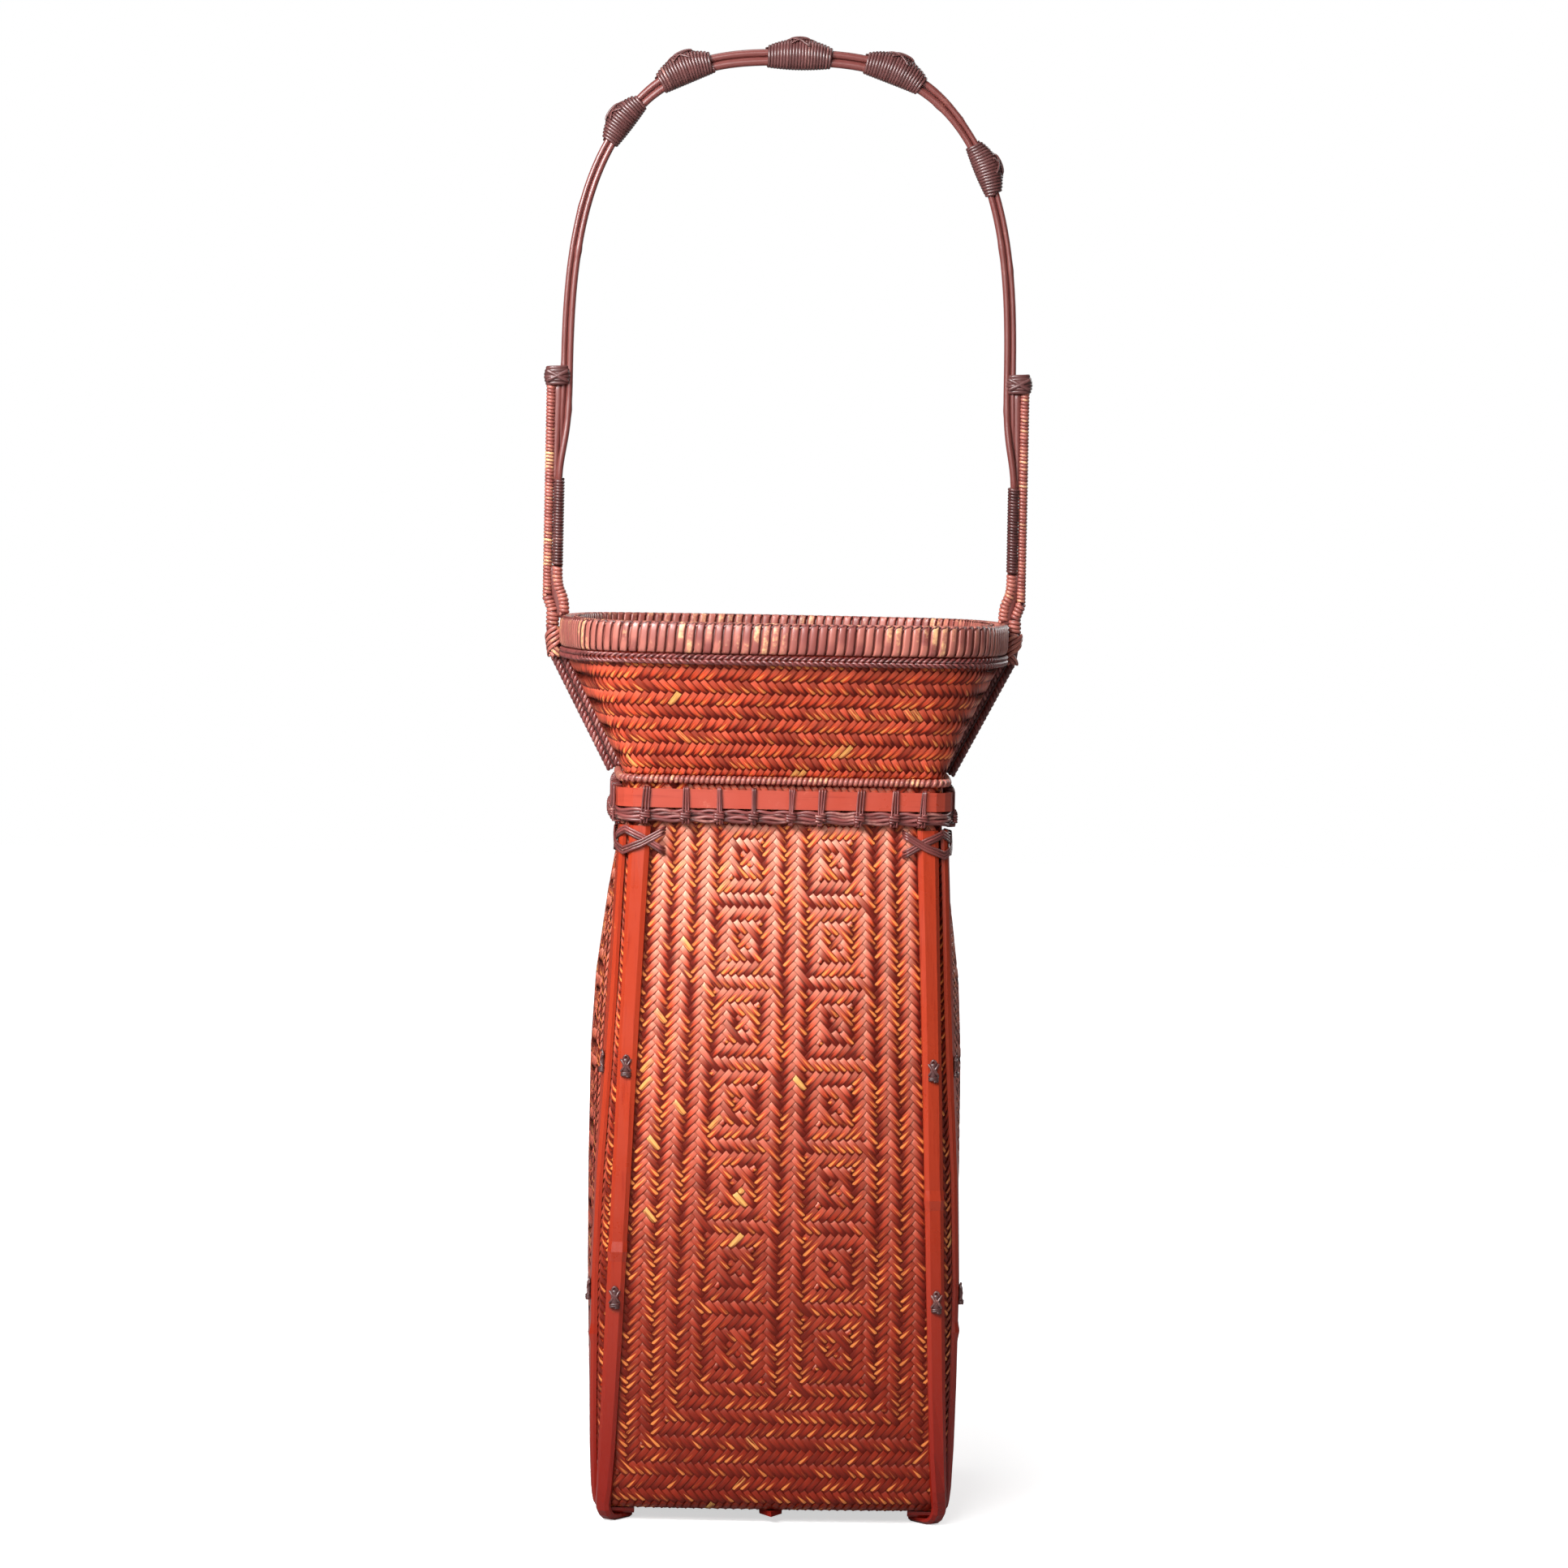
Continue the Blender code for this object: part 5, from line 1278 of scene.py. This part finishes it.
class BASKET_OT_handle(bpy.types.Operator):
    """Finish the handle's canes, and wind the five knots that bind them"""

    bl_idname = "basket.handle"
    bl_label = "Handle"
    bl_options = {"REGISTER", "UNDO"}

    def execute(self, context):
        settings = context.scene.basket
        for name, shifts, sizes, depth in CANES:
            builder = Builder()
            points, out = cane_line(shifts, depth)
            radius = sizes[0] + (sizes[1] - sizes[0]) * top_share(points)
            steps = np.concatenate(((0.0,), np.cumsum(np.linalg.norm(np.diff(points, axis=0), axis=1))))
            size = np.array(radius)
            for joint in np.arange(JOINT_FIRST + JOINT_STAGGER * (depth > 0), steps[-1], JOINT_STEP):
                size += JOINT_RISE * np.exp(-(((steps - joint) / JOINT_LENGTH) ** 2))
            sweep(builder, points, out, size, size, 16, tone=0.5, spare=0.5)
            node = f"handle_{name}_cane"
            builder.make(node + "_fine", material(CANE, settings), slot="handle_cane", nodes=(node,))
        side = np.array((0.0, 1.0, 0.0))
        for number, (middle, length) in enumerate(zip(KNOT_ACROSS_SHARES, KNOT_LENGTH_SHARES)):
            builder = Builder()
            reach = TOP_KNOT_LENGTH * length
            spine, out = arch_stretch(middle, reach)
            share = np.linspace(0.0, 1.0, len(spine))
            swell = np.sin(math.pi * share) ** 0.8
            full = top_share(spine)
            shift = KNOT_OUT[2] * swell + KNOT_OUT[0] + KNOT_OUT[1] * full
            middle_line = spine + out * shift[:, None]
            half = KNOT_HALF[0] + KNOT_HALF[1] * full + KNOT_HALF[2] * swell
            deep = KNOT_DEEP[0] + KNOT_DEEP[1] * full + KNOT_DEEP[2] * swell
            wind(builder, middle_line, out, side, half, deep, reach / KNOT_PITCH, *KNOT_STRAND, 16, 6,
                 tones=(0.3, 1.0))
            core(builder, middle_line[2:-2], side, (half - KNOT_CORE_INSET)[2:-2],
                 (deep - KNOT_CORE_INSET)[2:-2])
            for slant, first, last in ((0.9, 8, 40), (-0.7, 22, 54)):
                part = np.linspace(-1.0, 1.0, last - first)
                around = slant * part * 1.2
                sideways = half[first:last] * np.cos(around) + 0.0004
                points = middle_line[first:last] + out[first:last] * sideways[:, None]
                points = points - side * (deep[first:last] * np.sin(around) + 0.0003)[:, None]
                sweep(builder, points, out[first:last], *KNOT_BAND, 7, tone=1.0, spare=0.95)
            turn = np.linspace(0.0, math.pi, 13)
            crown = (len(spine) // 2) + int(3 * (number % 2))
            along = unit(spine[crown + 1] - spine[crown - 1])
            loop = middle_line[crown] + out[crown] * (half[crown] - 0.0004 + 0.0013 * np.sin(turn))[:, None]
            loop = loop + along * (0.0042 * np.cos(turn))[:, None] - side * 0.0006
            sweep(builder, loop, out[crown], *KNOT_LOOP, 7, tone=1.0, spare=0.9)
            name = "handle_knot_" + str(number + 1)
            builder.make(name + "_wound", material(KNOTS, settings), slot="dark_rattan", nodes=(name,))
        return {"FINISHED"}


LEG_HALF_SPAN = 0.0938
STAY_HALF_SPAN = 0.0978
STAY_TOP = 0.4625
STAY_KNOT = (0.0953, 0.4590)
STAY_KNOT_HALF = (0.0056, 0.0044, 0.0044)
STAY_KNOT_REACH = 0.0038
STAY_KNOT_STRAND = (0.00085, 0.00065)
STAY_KNOT_CROSSED = (0.0008, 0.0005)
STAY_KNOT_POWER = 2.2
FILLER_DEPTH = 0.0011
# Windings of the stays, the wrap and the inner legs, in metres: radius, pitch and thickness of the strand
STAY_WINDING = (0.00198, 0.00143, 0.0004)
STAY_BEND_WINDING = (0.0023, 0.0016, 0.0005)
STAY_FOOT_WINDING = (0.0028, 0.0017, 0.0006)
LEG_WRAP_WINDING = (0.0024, 0.00125, 0.0004)
INNER_LEG_WINDING = (0.0023, 0.0016, 0.00045)
STAY_FOOT_TOP = 0.3685
STAY_FOOT_SPAN = 0.09535
STAY_BOTTOM = 0.3556
LEG_WRAP = (0.3810, 0.4165)
INNER_LEG_SPAN = 0.0907


def straight(start, end, count=30):
    """Evenly spaced points between two ends."""
    return np.array(start) + np.linspace(0.0, 1.0, count)[:, None] * (np.array(end) - np.array(start))


def bezier(controls, count=40):
    """Points of a Bezier curve of any number of controls."""
    share = np.linspace(0.0, 1.0, count)[:, None]
    rows = [np.broadcast_to(np.array(control, float), (count, 3)) for control in controls]
    while len(rows) > 1:
        rows = [start + (end - start) * share for start, end in zip(rows, rows[1:])]
    return rows[0]


def even(points, count):
    """The same line with its points evenly spaced."""
    steps = np.concatenate(((0.0,), np.cumsum(np.linalg.norm(np.diff(points, axis=0), axis=1))))
    places = np.linspace(0.0, steps[-1], count)
    return np.stack([np.interp(places, steps, points[:, axis]) for axis in range(3)], 1)


def wound_rod(builder, points, radius, pitch, thick, deep=1.0, tones=(0.1, 0.8)):
    """A rod in the XZ plane wound closely from end to end."""
    length = float(np.linalg.norm(np.diff(points, axis=0), axis=1).sum())
    points = even(points, 50)
    side = np.array((0.0, 1.0, 0.0))
    out = unit(np.cross(np.gradient(points, axis=0), side))
    wind(builder, points, out, side, radius - thick, radius * deep - thick, length / pitch,
         pitch * 0.50, thick, 14, 6, tones=tones)
    core(builder, points, side, radius - 1.3 * thick, radius * deep - 1.3 * thick)


class BASKET_OT_legs(bpy.types.Operator):
    """Wind the stays, the stay knots, the leg wraps and the inner legs on both sides"""

    bl_idname = "basket.legs"
    bl_label = "Handle legs"
    bl_options = {"REGISTER", "UNDO"}

    def execute(self, context):
        settings = context.scene.basket
        side = np.array((0.0, 1.0, 0.0))
        for hand, label in ((-1.0, "left"), (1.0, "right")):
            stay = Builder()
            top, bend = (hand * STAY_HALF_SPAN, 0.0, STAY_TOP), (hand * STAY_HALF_SPAN, 0.0, STAY_FOOT_TOP)
            foot = (hand * STAY_FOOT_SPAN, 0.0, (STAY_FOOT_TOP + STAY_BOTTOM) / 2.0)
            bottom = (hand * STAY_FOOT_SPAN, 0.0, STAY_BOTTOM)
            wound_rod(stay, straight(top, bend), *STAY_WINDING)
            wound_rod(stay, straight(bend, foot, 10), *STAY_BEND_WINDING)
            wound_rod(stay, straight(foot, bottom, 10), *STAY_FOOT_WINDING)
            # The dark strand that closes the gap between the stay and the canes
            line = cane_line((0.0, 0.0), 1.0)[0][:60]
            heights = np.linspace(LEG_WRAP[1] - 0.001, STAY_KNOT[1] - 0.0030, 16)
            near = np.abs(np.interp(heights, line[:, 2], line[:, 0])) + 0.0006
            far = STAY_HALF_SPAN - 0.0014
            filler = np.stack((hand * (near + far) / 2.0, np.zeros(16), heights), 1)
            core(stay, filler, side, (far - near) / 2.0 + 0.0002, FILLER_DEPTH)
            stay.make("stay_wound_" + label, material(WRAPPING, settings), slot="wrapped_rattan",
                      nodes=("stay_" + label,))
            knot = Builder()
            middle = np.array((hand * STAY_KNOT[0], 0.0, STAY_KNOT[1]))
            half = np.array(STAY_KNOT_HALF)
            spine = straight(middle - (0.0, 0.0, STAY_KNOT_REACH), middle + (0.0, 0.0, STAY_KNOT_REACH), 20)
            swell = np.sin(np.linspace(0.0, math.pi, 20))
            wind(knot, spine, (1.0, 0.0, 0.0), side, half[0] - 0.0016 + 0.001 * swell,
                 half[1] - 0.002 + 0.0014 * swell, 6, *STAY_KNOT_STRAND, 18, 7, STAY_KNOT_POWER,
                 tones=(0.3, 1.0))
            core(knot, spine, side, half[0] - 0.0022, half[1] - 0.0024)
            tilt = np.linspace(-1.0, 1.0, 16)
            for slope in (-1.0, 1.0):
                bulge = (1.0 - np.abs(0.8 * tilt) ** STAY_KNOT_POWER) ** (1.0 / STAY_KNOT_POWER)
                points = np.stack((middle[0] + tilt * half[0] * 0.8, -0.0002 - (half[1] - 0.0004) * bulge,
                                   middle[2] + slope * tilt * half[2] * 0.5), 1)
                sweep(knot, points, (0.0, -1.0, 0.0), *STAY_KNOT_CROSSED, 7, tone=0.8, spare=0.8)
            knot.make("stay_knot_wound_" + label, material(KNOTS, settings), slot="dark_rattan",
                      nodes=("stay_knot_" + label,))
            wrap = Builder()
            rod = straight((hand * LEG_HALF_SPAN, 0.0, LEG_WRAP[1]), (hand * LEG_HALF_SPAN, 0.0, LEG_WRAP[0]))
            wound_rod(wrap, rod, *LEG_WRAP_WINDING, 1.4, (0.2, 0.9))
            wrap.make("leg_wrap_wound_" + label, material(KNOTS, settings), slot="dark_rattan",
                      nodes=("leg_wrap_" + label,))
            leg = Builder()
            high_z, low_z = LEG_WRAP[0] - 0.0021, RIM_TOP + FIT_GAP
            curve = bezier((
                (hand * LEG_HALF_SPAN, 0.0, high_z),
                (hand * LEG_HALF_SPAN, 0.0, low_z + 0.35 * (high_z - low_z)),
                (hand * INNER_LEG_SPAN, 0.0, high_z - 0.35 * (high_z - low_z)),
                (hand * INNER_LEG_SPAN, 0.0, low_z),
            ))
            path = np.concatenate((((hand * LEG_HALF_SPAN, 0.0, LEG_WRAP[0] - 0.0003),), curve))
            wound_rod(leg, path, *INNER_LEG_WINDING, 1.0, (0.3, 1.0))
            gap = straight((hand * STAY_FOOT_SPAN, 0.0, LEG_WRAP[0]),
                           (hand * INNER_LEG_SPAN, 0.0, low_z - 0.0015), 12)
            core(leg, gap + np.array((hand * 0.001, 0.0, 0.0)), side, 0.0022, 0.0012)
            leg.make("inner_leg_wound_" + label, material(WRAPPING, settings), slot="wrapped_rattan",
                     nodes=("inner_leg_" + label,))
        return {"FINISHED"}


RIB_ROPE = 0.00176
RIB_PITCH = 0.0066
LASHING_SPAN = 0.0938
LASHING_LEAN = 0.001
LASHING_LOW = 0.0035
LASHING_HIGH = 0.0015
LASHING_STRAND = (0.00085, 0.0004)
RIB_LOW = (0.0657, 0.2998)
RIB_HIGH = (0.0905, 0.3471)


class BASKET_OT_side_ribs(bpy.types.Operator):
    """Twist the double ribs down the mouth's sides, and cross the strips that bind the stays"""

    bl_idname = "basket.side_ribs"
    bl_label = "Side ribs"
    bl_options = {"REGISTER", "UNDO"}

    def execute(self, context):
        settings = context.scene.basket
        side = np.array((0.0, 1.0, 0.0))
        for hand, label in ((-1.0, "left"), (1.0, "right")):
            rib = Builder()
            for stand in (RIB_ROPE, 3.0 * RIB_ROPE):
                wall = straight((hand * RIB_HIGH[0], 0.0, RIB_HIGH[1]),
                                (hand * RIB_LOW[0], 0.0, RIB_LOW[1]), 40)
                out = unit(np.cross(np.gradient(wall, axis=0), side)) * hand
                points = wall + out * (stand - FIT_GAP)
                rope(rib, points, out, side, RIB_ROPE * 0.50, RIB_ROPE * 0.52, RIB_PITCH, 3, 1.0, (0.2, 1.0))
                core(rib, points, side, RIB_ROPE * 0.8, RIB_ROPE * 0.8)
                core(rib, points - out * RIB_ROPE, side, RIB_ROPE * 0.5, RIB_ROPE * 0.6)
            rib.make("side_rib_twist_" + label, material(RATTAN, settings), slot="dark_rattan",
                     nodes=("side_rib_" + label,))
            low, high = (np.array(corner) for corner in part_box("rim_lashing_" + label))
            strips = Builder()
            spine = straight((hand * LASHING_SPAN, 0.0, low[2] - LASHING_LOW),
                             (hand * (LASHING_SPAN + LASHING_LEAN), 0.0, high[2] + LASHING_HIGH))
            half = 0.0028 + 0.0008 * np.linspace(0.0, 1.0, len(spine))
            for lean in (-1.0, 1.0):
                for start in (0.0, 0.9, 1.8, 2.7):
                    wind(strips, spine, (1.0, 0.0, 0.0), side * lean, half + 0.0003 * lean,
                         half + 0.0016 + 0.0003 * lean, 0.8, *LASHING_STRAND, 40, 7, 2.2, start, (0.4, 1.0))
            core(strips, spine, side, half - 0.0004, half + 0.001)
            strips.make("rim_lashing_strips_" + label, material(WRAPPING, settings), slot="handle_cane",
                        nodes=("rim_lashing_" + label,))
        return {"FINISHED"}


OTOSHI_RADIUS = 0.036
OTOSHI_WALL = 0.0042
OTOSHI_FLOOR = 0.006
OTOSHI_JOINT = 0.118
OTOSHI_ROUND = 0.0006
OTOSHI_SIDES = 96
JOINT_RIDGE = (0.0005, 0.0011)
JOINT_GROOVE = (0.0003, 0.0009)
JOINT_APART = 0.0028


class BASKET_OT_water_tube(bpy.types.Operator):
    """Turn the loose bamboo tube that holds the water, with the ring of its joint"""

    bl_idname = "basket.water_tube"
    bl_label = "Water tube"
    bl_options = {"REGISTER", "UNDO"}

    def execute(self, context):
        low, high = (np.array(corner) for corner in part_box("otoshi"))
        middle, edge = (low + high) / 2.0, OTOSHI_ROUND
        inner, rise = OTOSHI_RADIUS - OTOSHI_WALL, high[2] - low[2]
        heights = np.linspace(rise - 0.003, 0.003, 70)
        ridge = JOINT_RIDGE[0] * np.exp(-(((heights - OTOSHI_JOINT) / JOINT_RIDGE[1]) ** 2))
        groove = JOINT_GROOVE[0] * np.exp(-(((heights - OTOSHI_JOINT - JOINT_APART) / JOINT_GROOVE[1]) ** 2))
        profile = [(0.0001, OTOSHI_FLOOR), (inner - 0.004, OTOSHI_FLOOR),
                   (inner - edge, OTOSHI_FLOOR + 0.0001), (inner, OTOSHI_FLOOR + edge),
                   (inner, OTOSHI_FLOOR + 0.004), (inner, rise - 0.003),
                   (inner, rise - edge), (inner + edge, rise - 0.0001), (inner + 0.0014, rise),
                   (OTOSHI_RADIUS - 0.0014, rise), (OTOSHI_RADIUS - edge, rise - 0.0001),
                   (OTOSHI_RADIUS, rise - edge)]
        profile += list(zip(OTOSHI_RADIUS + ridge - groove, heights))
        profile += [(OTOSHI_RADIUS, edge), (OTOSHI_RADIUS - edge, 0.0001), (OTOSHI_RADIUS - 0.004, 0.0),
                    (0.0001, 0.0)]
        turn = np.linspace(0.0, 2.0 * math.pi, OTOSHI_SIDES, endpoint=False)
        rings = [np.stack((middle[0] + radius * np.cos(turn), middle[1] + radius * np.sin(turn),
                           np.full(OTOSHI_SIDES, low[2] + height)), 1) for radius, height in profile]
        builder = Builder()
        closed_shell(builder, rings, 0.5)
        builder.make("otoshi_fine", material(TUBE, context.scene.basket), body="water_tube",
                     slot="tube_bamboo", nodes=("otoshi",))
        return {"FINISHED"}


class BASKET_OT_stage(bpy.types.Operator):
    """Set up the pale floor, the backdrop, soft studio lights and the camera of the photograph"""

    bl_idname = "basket.stage"
    bl_label = "Stage"
    bl_options = {"REGISTER", "UNDO"}

    def execute(self, context):
        settings = context.scene.basket
        scene = context.scene
        scene.view_settings.view_transform = "Standard"
        floor = flat_sheet("stage_floor", ((-4, -4, 0), (4, -4, 0), (4, 4, 0), (-4, 4, 0)),
                           stage_material(settings))
        wall = flat_sheet("stage_wall", ((-9, 4, -2), (9, 4, -2), (9, 4, 7), (-9, 4, 7)), backdrop_material())
        world = bpy.data.worlds.new("Studio")
        world.use_nodes = True
        background = world.node_tree.nodes["Background"]
        background.inputs["Color"].default_value = (1.0, 1.0, 1.0, 1.0)
        # White to the camera all round; less of it in reflections than in the soft fill on the sides
        rays = world.node_tree.nodes.new("ShaderNodeLightPath")
        tree = world.node_tree
        dimmed = minus(tree, 1.0, times(tree, rays.outputs["Is Glossy Ray"], 0.75))
        filled = maths(tree, "MAXIMUM", rays.outputs["Is Camera Ray"], times(tree, dimmed, settings.fill))
        tree.links.new(filled, background.inputs["Strength"])
        scene.world = world
        for name, place, target_height, size, share in LAMPS:
            lamp(name, place, (0.0, 0.0, target_height), size, settings.key * share)
        turn = math.radians(-CAMERA_SIDE)
        away = Vector((math.sin(turn), math.cos(turn), 0.0))
        right = Vector((math.cos(turn), -math.sin(turn), 0.0))
        data = bpy.data.cameras.new("Camera")
        data.sensor_width = 36.0
        data.lens = CAMERA_LENS
        data.shift_y = CAMERA_SHIFT
        data.clip_start = 0.05
        camera = bpy.data.objects.new("Camera", data)
        scene.collection.objects.link(camera)
        place = Vector((0.0, 0.0, CAMERA_HEIGHT)) - away * CAMERA_DISTANCE + right * CAMERA_SLIDE
        turned = Matrix.Rotation(-turn, 4, "Z") @ Matrix.Rotation(math.pi / 2.0, 4, "X")
        roll = Matrix.Rotation(math.radians(CAMERA_ROLL), 4, "Z")
        camera.matrix_world = Matrix.Translation(place) @ turned @ roll
        scene.camera = camera
        return {"FINISHED"}


# Each lamp's name, place, height of the point it faces, size and share of the key light's strength
LAMPS = (
    ("key", (-0.62, -0.66, 0.84), 0.26, 0.42, 0.32),
    ("sheen", (-0.32, -1.22, 0.82), 0.26, 0.50, 0.17),
    ("front", (-0.6, -3.2, 0.7), 0.28, 1.4, 0.07),
    ("top", (-0.3, 0.2, 2.6), 0.3, 1.2, 0.25),
    ("back", (1.1, 1.5, 1.1), 0.28, 1.4, 0.30),
)
CAMERA_SIDE = -1.5
CAMERA_ROLL = 1.12
CAMERA_DISTANCE = 2.25
CAMERA_HEIGHT = 0.4083
CAMERA_SLIDE = -0.0009
CAMERA_LENS = 125.2
CAMERA_SHIFT = -0.179


def flat_sheet(name, corners, made):
    """A flat rectangle for the stage."""
    mesh = bpy.data.meshes.new(name)
    mesh.from_pydata(corners, [], [(0, 1, 2, 3)])
    mesh.materials.append(made)
    thing = bpy.data.objects.new(name, mesh)
    bpy.context.scene.collection.objects.link(thing)
    return thing


def stage_material(settings):
    """Pale floor that keeps the object's shadow and shows white to the camera."""
    made = bpy.data.materials.new("Stage floor")
    made.use_nodes = True
    shader = made.node_tree.nodes["Principled BSDF"]
    shader.inputs["Roughness"].default_value = 0.9
    shader.inputs["Specular IOR Level"].default_value = 0.0
    shader.inputs["Emission Color"].default_value = (1.0, 1.0, 1.0, 1.0)
    tree = made.node_tree
    place = add_node(tree, "ShaderNodeTexCoord").outputs["Object"]
    away = add_node(tree, "ShaderNodeVectorMath", {0: place}, operation="LENGTH").outputs["Value"]
    lift = ranged(tree, away, 0.18, 0.75, settings.floor_lift, 1.0)
    rays = tree.nodes.new("ShaderNodeLightPath")
    lit = times(tree, rays.outputs["Is Camera Ray"], lift)
    tree.links.new(lit, shader.inputs["Emission Strength"])
    # The floor throws less light back at the basket than it shows to the camera
    pale = mixed(tree, rays.outputs["Is Camera Ray"], (0.30, 0.30, 0.30), (0.80, 0.80, 0.80))
    tree.links.new(pale, shader.inputs["Base Color"])
    return made


def backdrop_material():
    """Plain white wall behind the object."""
    made = bpy.data.materials.new("Stage wall")
    made.use_nodes = True
    tree = made.node_tree
    glow = tree.nodes.new("ShaderNodeEmission")
    glow.inputs["Color"].default_value = (1.0, 1.0, 1.0, 1.0)
    rays = tree.nodes.new("ShaderNodeLightPath")
    seen = maths(tree, "MAXIMUM", rays.outputs["Is Camera Ray"], 0.06)
    tree.links.new(seen, glow.inputs["Strength"])
    tree.links.new(glow.outputs[0], tree.nodes["Material Output"].inputs["Surface"])
    tree.nodes.remove(tree.nodes["Principled BSDF"])
    return made


def lamp(name, place, target, size, energy):
    """Square soft light that faces a point."""
    data = bpy.data.lights.new(name, "AREA")
    data.size = size
    data.energy = energy
    thing = bpy.data.objects.new(name, data)
    bpy.context.scene.collection.objects.link(thing)
    thing.location = place
    thing.rotation_euler = (Vector(target) - Vector(place)).to_track_quat("-Z", "Y").to_euler()
    return thing


class BasketSettings(bpy.types.PropertyGroup):
    """Sizes and colours of the basket that a user would change."""

    strip_cover: FloatProperty(
        name="Strip cover", description="Width of a strip, as a share of its lane",
        default=0.95, min=0.5, max=1.0, subtype="FACTOR")
    strip_dip: FloatProperty(
        name="Strip dip", description="How deep a strip's ends go under its neighbours",
        default=0.00055, min=0.0, max=0.001, unit="LENGTH", precision=5)
    wear: FloatProperty(
        name="Wear", description="How far the lacquer is worn off the plaited strips",
        default=-0.08, min=-0.5, max=1.0, subtype="FACTOR")
    lacquer: FloatVectorProperty(
        name="Lacquer", description="Lacquer on the plaited strips",
        default=(0.88, 0.066, 0.014), min=0.0, max=1.0, subtype="COLOR")
    # Also the colour of the yellow streaks at the plaited strips' lower ends, part wear and part painted
    # highlight
    worn: FloatVectorProperty(
        name="Worn", description="Bamboo where the lacquer is worn thin",
        default=(0.95, 0.30, 0.075), min=0.0, max=1.0, subtype="COLOR")
    bare: FloatVectorProperty(
        name="Bare", description="The few strips that are nearly bare",
        default=(0.85, 0.47, 0.13), min=0.0, max=1.0, subtype="COLOR")
    post: FloatVectorProperty(
        name="Posts", description="Lacquer on the split-bamboo posts and the laths",
        default=(0.42, 0.041, 0.014), min=0.0, max=1.0, subtype="COLOR")
    rattan: FloatVectorProperty(
        name="Rattan", description="Dark rattan of the ties and lashings",
        default=(0.26, 0.062, 0.056), min=0.0, max=1.0, subtype="COLOR")
    cane: FloatVectorProperty(
        name="Cane", description="Canes of the handle",
        default=(0.17, 0.044, 0.038), min=0.0, max=1.0, subtype="COLOR")
    key: FloatProperty(
        name="Key light", description="Strength of the key light",
        default=52.0, min=0.0, max=500.0, unit="POWER")
    fill: FloatProperty(
        name="Fill light", description="Strength of the light from all round",
        default=0.20, min=0.0, max=5.0)
    floor_lift: FloatProperty(
        name="Floor lift", description="How much the floor is brightened for the camera",
        default=0.60, min=0.0, max=1.0, subtype="FACTOR")


class BASKET_PT_panel(bpy.types.Panel):
    """Sizes and colours of the basket, and a button for each of its groups."""

    bl_idname = "BASKET_PT_panel"
    bl_label = "Ikebana Basket"
    bl_space_type = "VIEW_3D"
    bl_region_type = "UI"
    bl_category = "Basket"

    def draw(self, context):
        column = self.layout.column()
        for name in BasketSettings.__annotations__:
            column.prop(context.scene.basket, name)
        for step in STEPS:
            column.operator(step.bl_idname)


STEPS = (
    BASKET_OT_body,
    BASKET_OT_mouth,
    BASKET_OT_rim,
    BASKET_OT_neck,
    BASKET_OT_posts,
    BASKET_OT_corner_lashings,
    BASKET_OT_handle,
    BASKET_OT_legs,
    BASKET_OT_side_ribs,
    BASKET_OT_water_tube,
    BASKET_OT_stage,
)
CLASSES = (BasketSettings, *STEPS, BASKET_PT_panel)


def register():
    """Register the add-on's classes and its settings."""
    for kind in CLASSES:
        bpy.utils.register_class(kind)
    bpy.types.Scene.basket = PointerProperty(type=BasketSettings)


def unregister():
    """Remove the settings and the classes."""
    del bpy.types.Scene.basket
    for kind in reversed(CLASSES):
        bpy.utils.unregister_class(kind)


def main():
    """Run every step in order."""
    register()
    for step in STEPS:
        group, name = step.bl_idname.split(".")
        getattr(getattr(bpy.ops, group), name)()


if __name__ == "__main__":
    main()
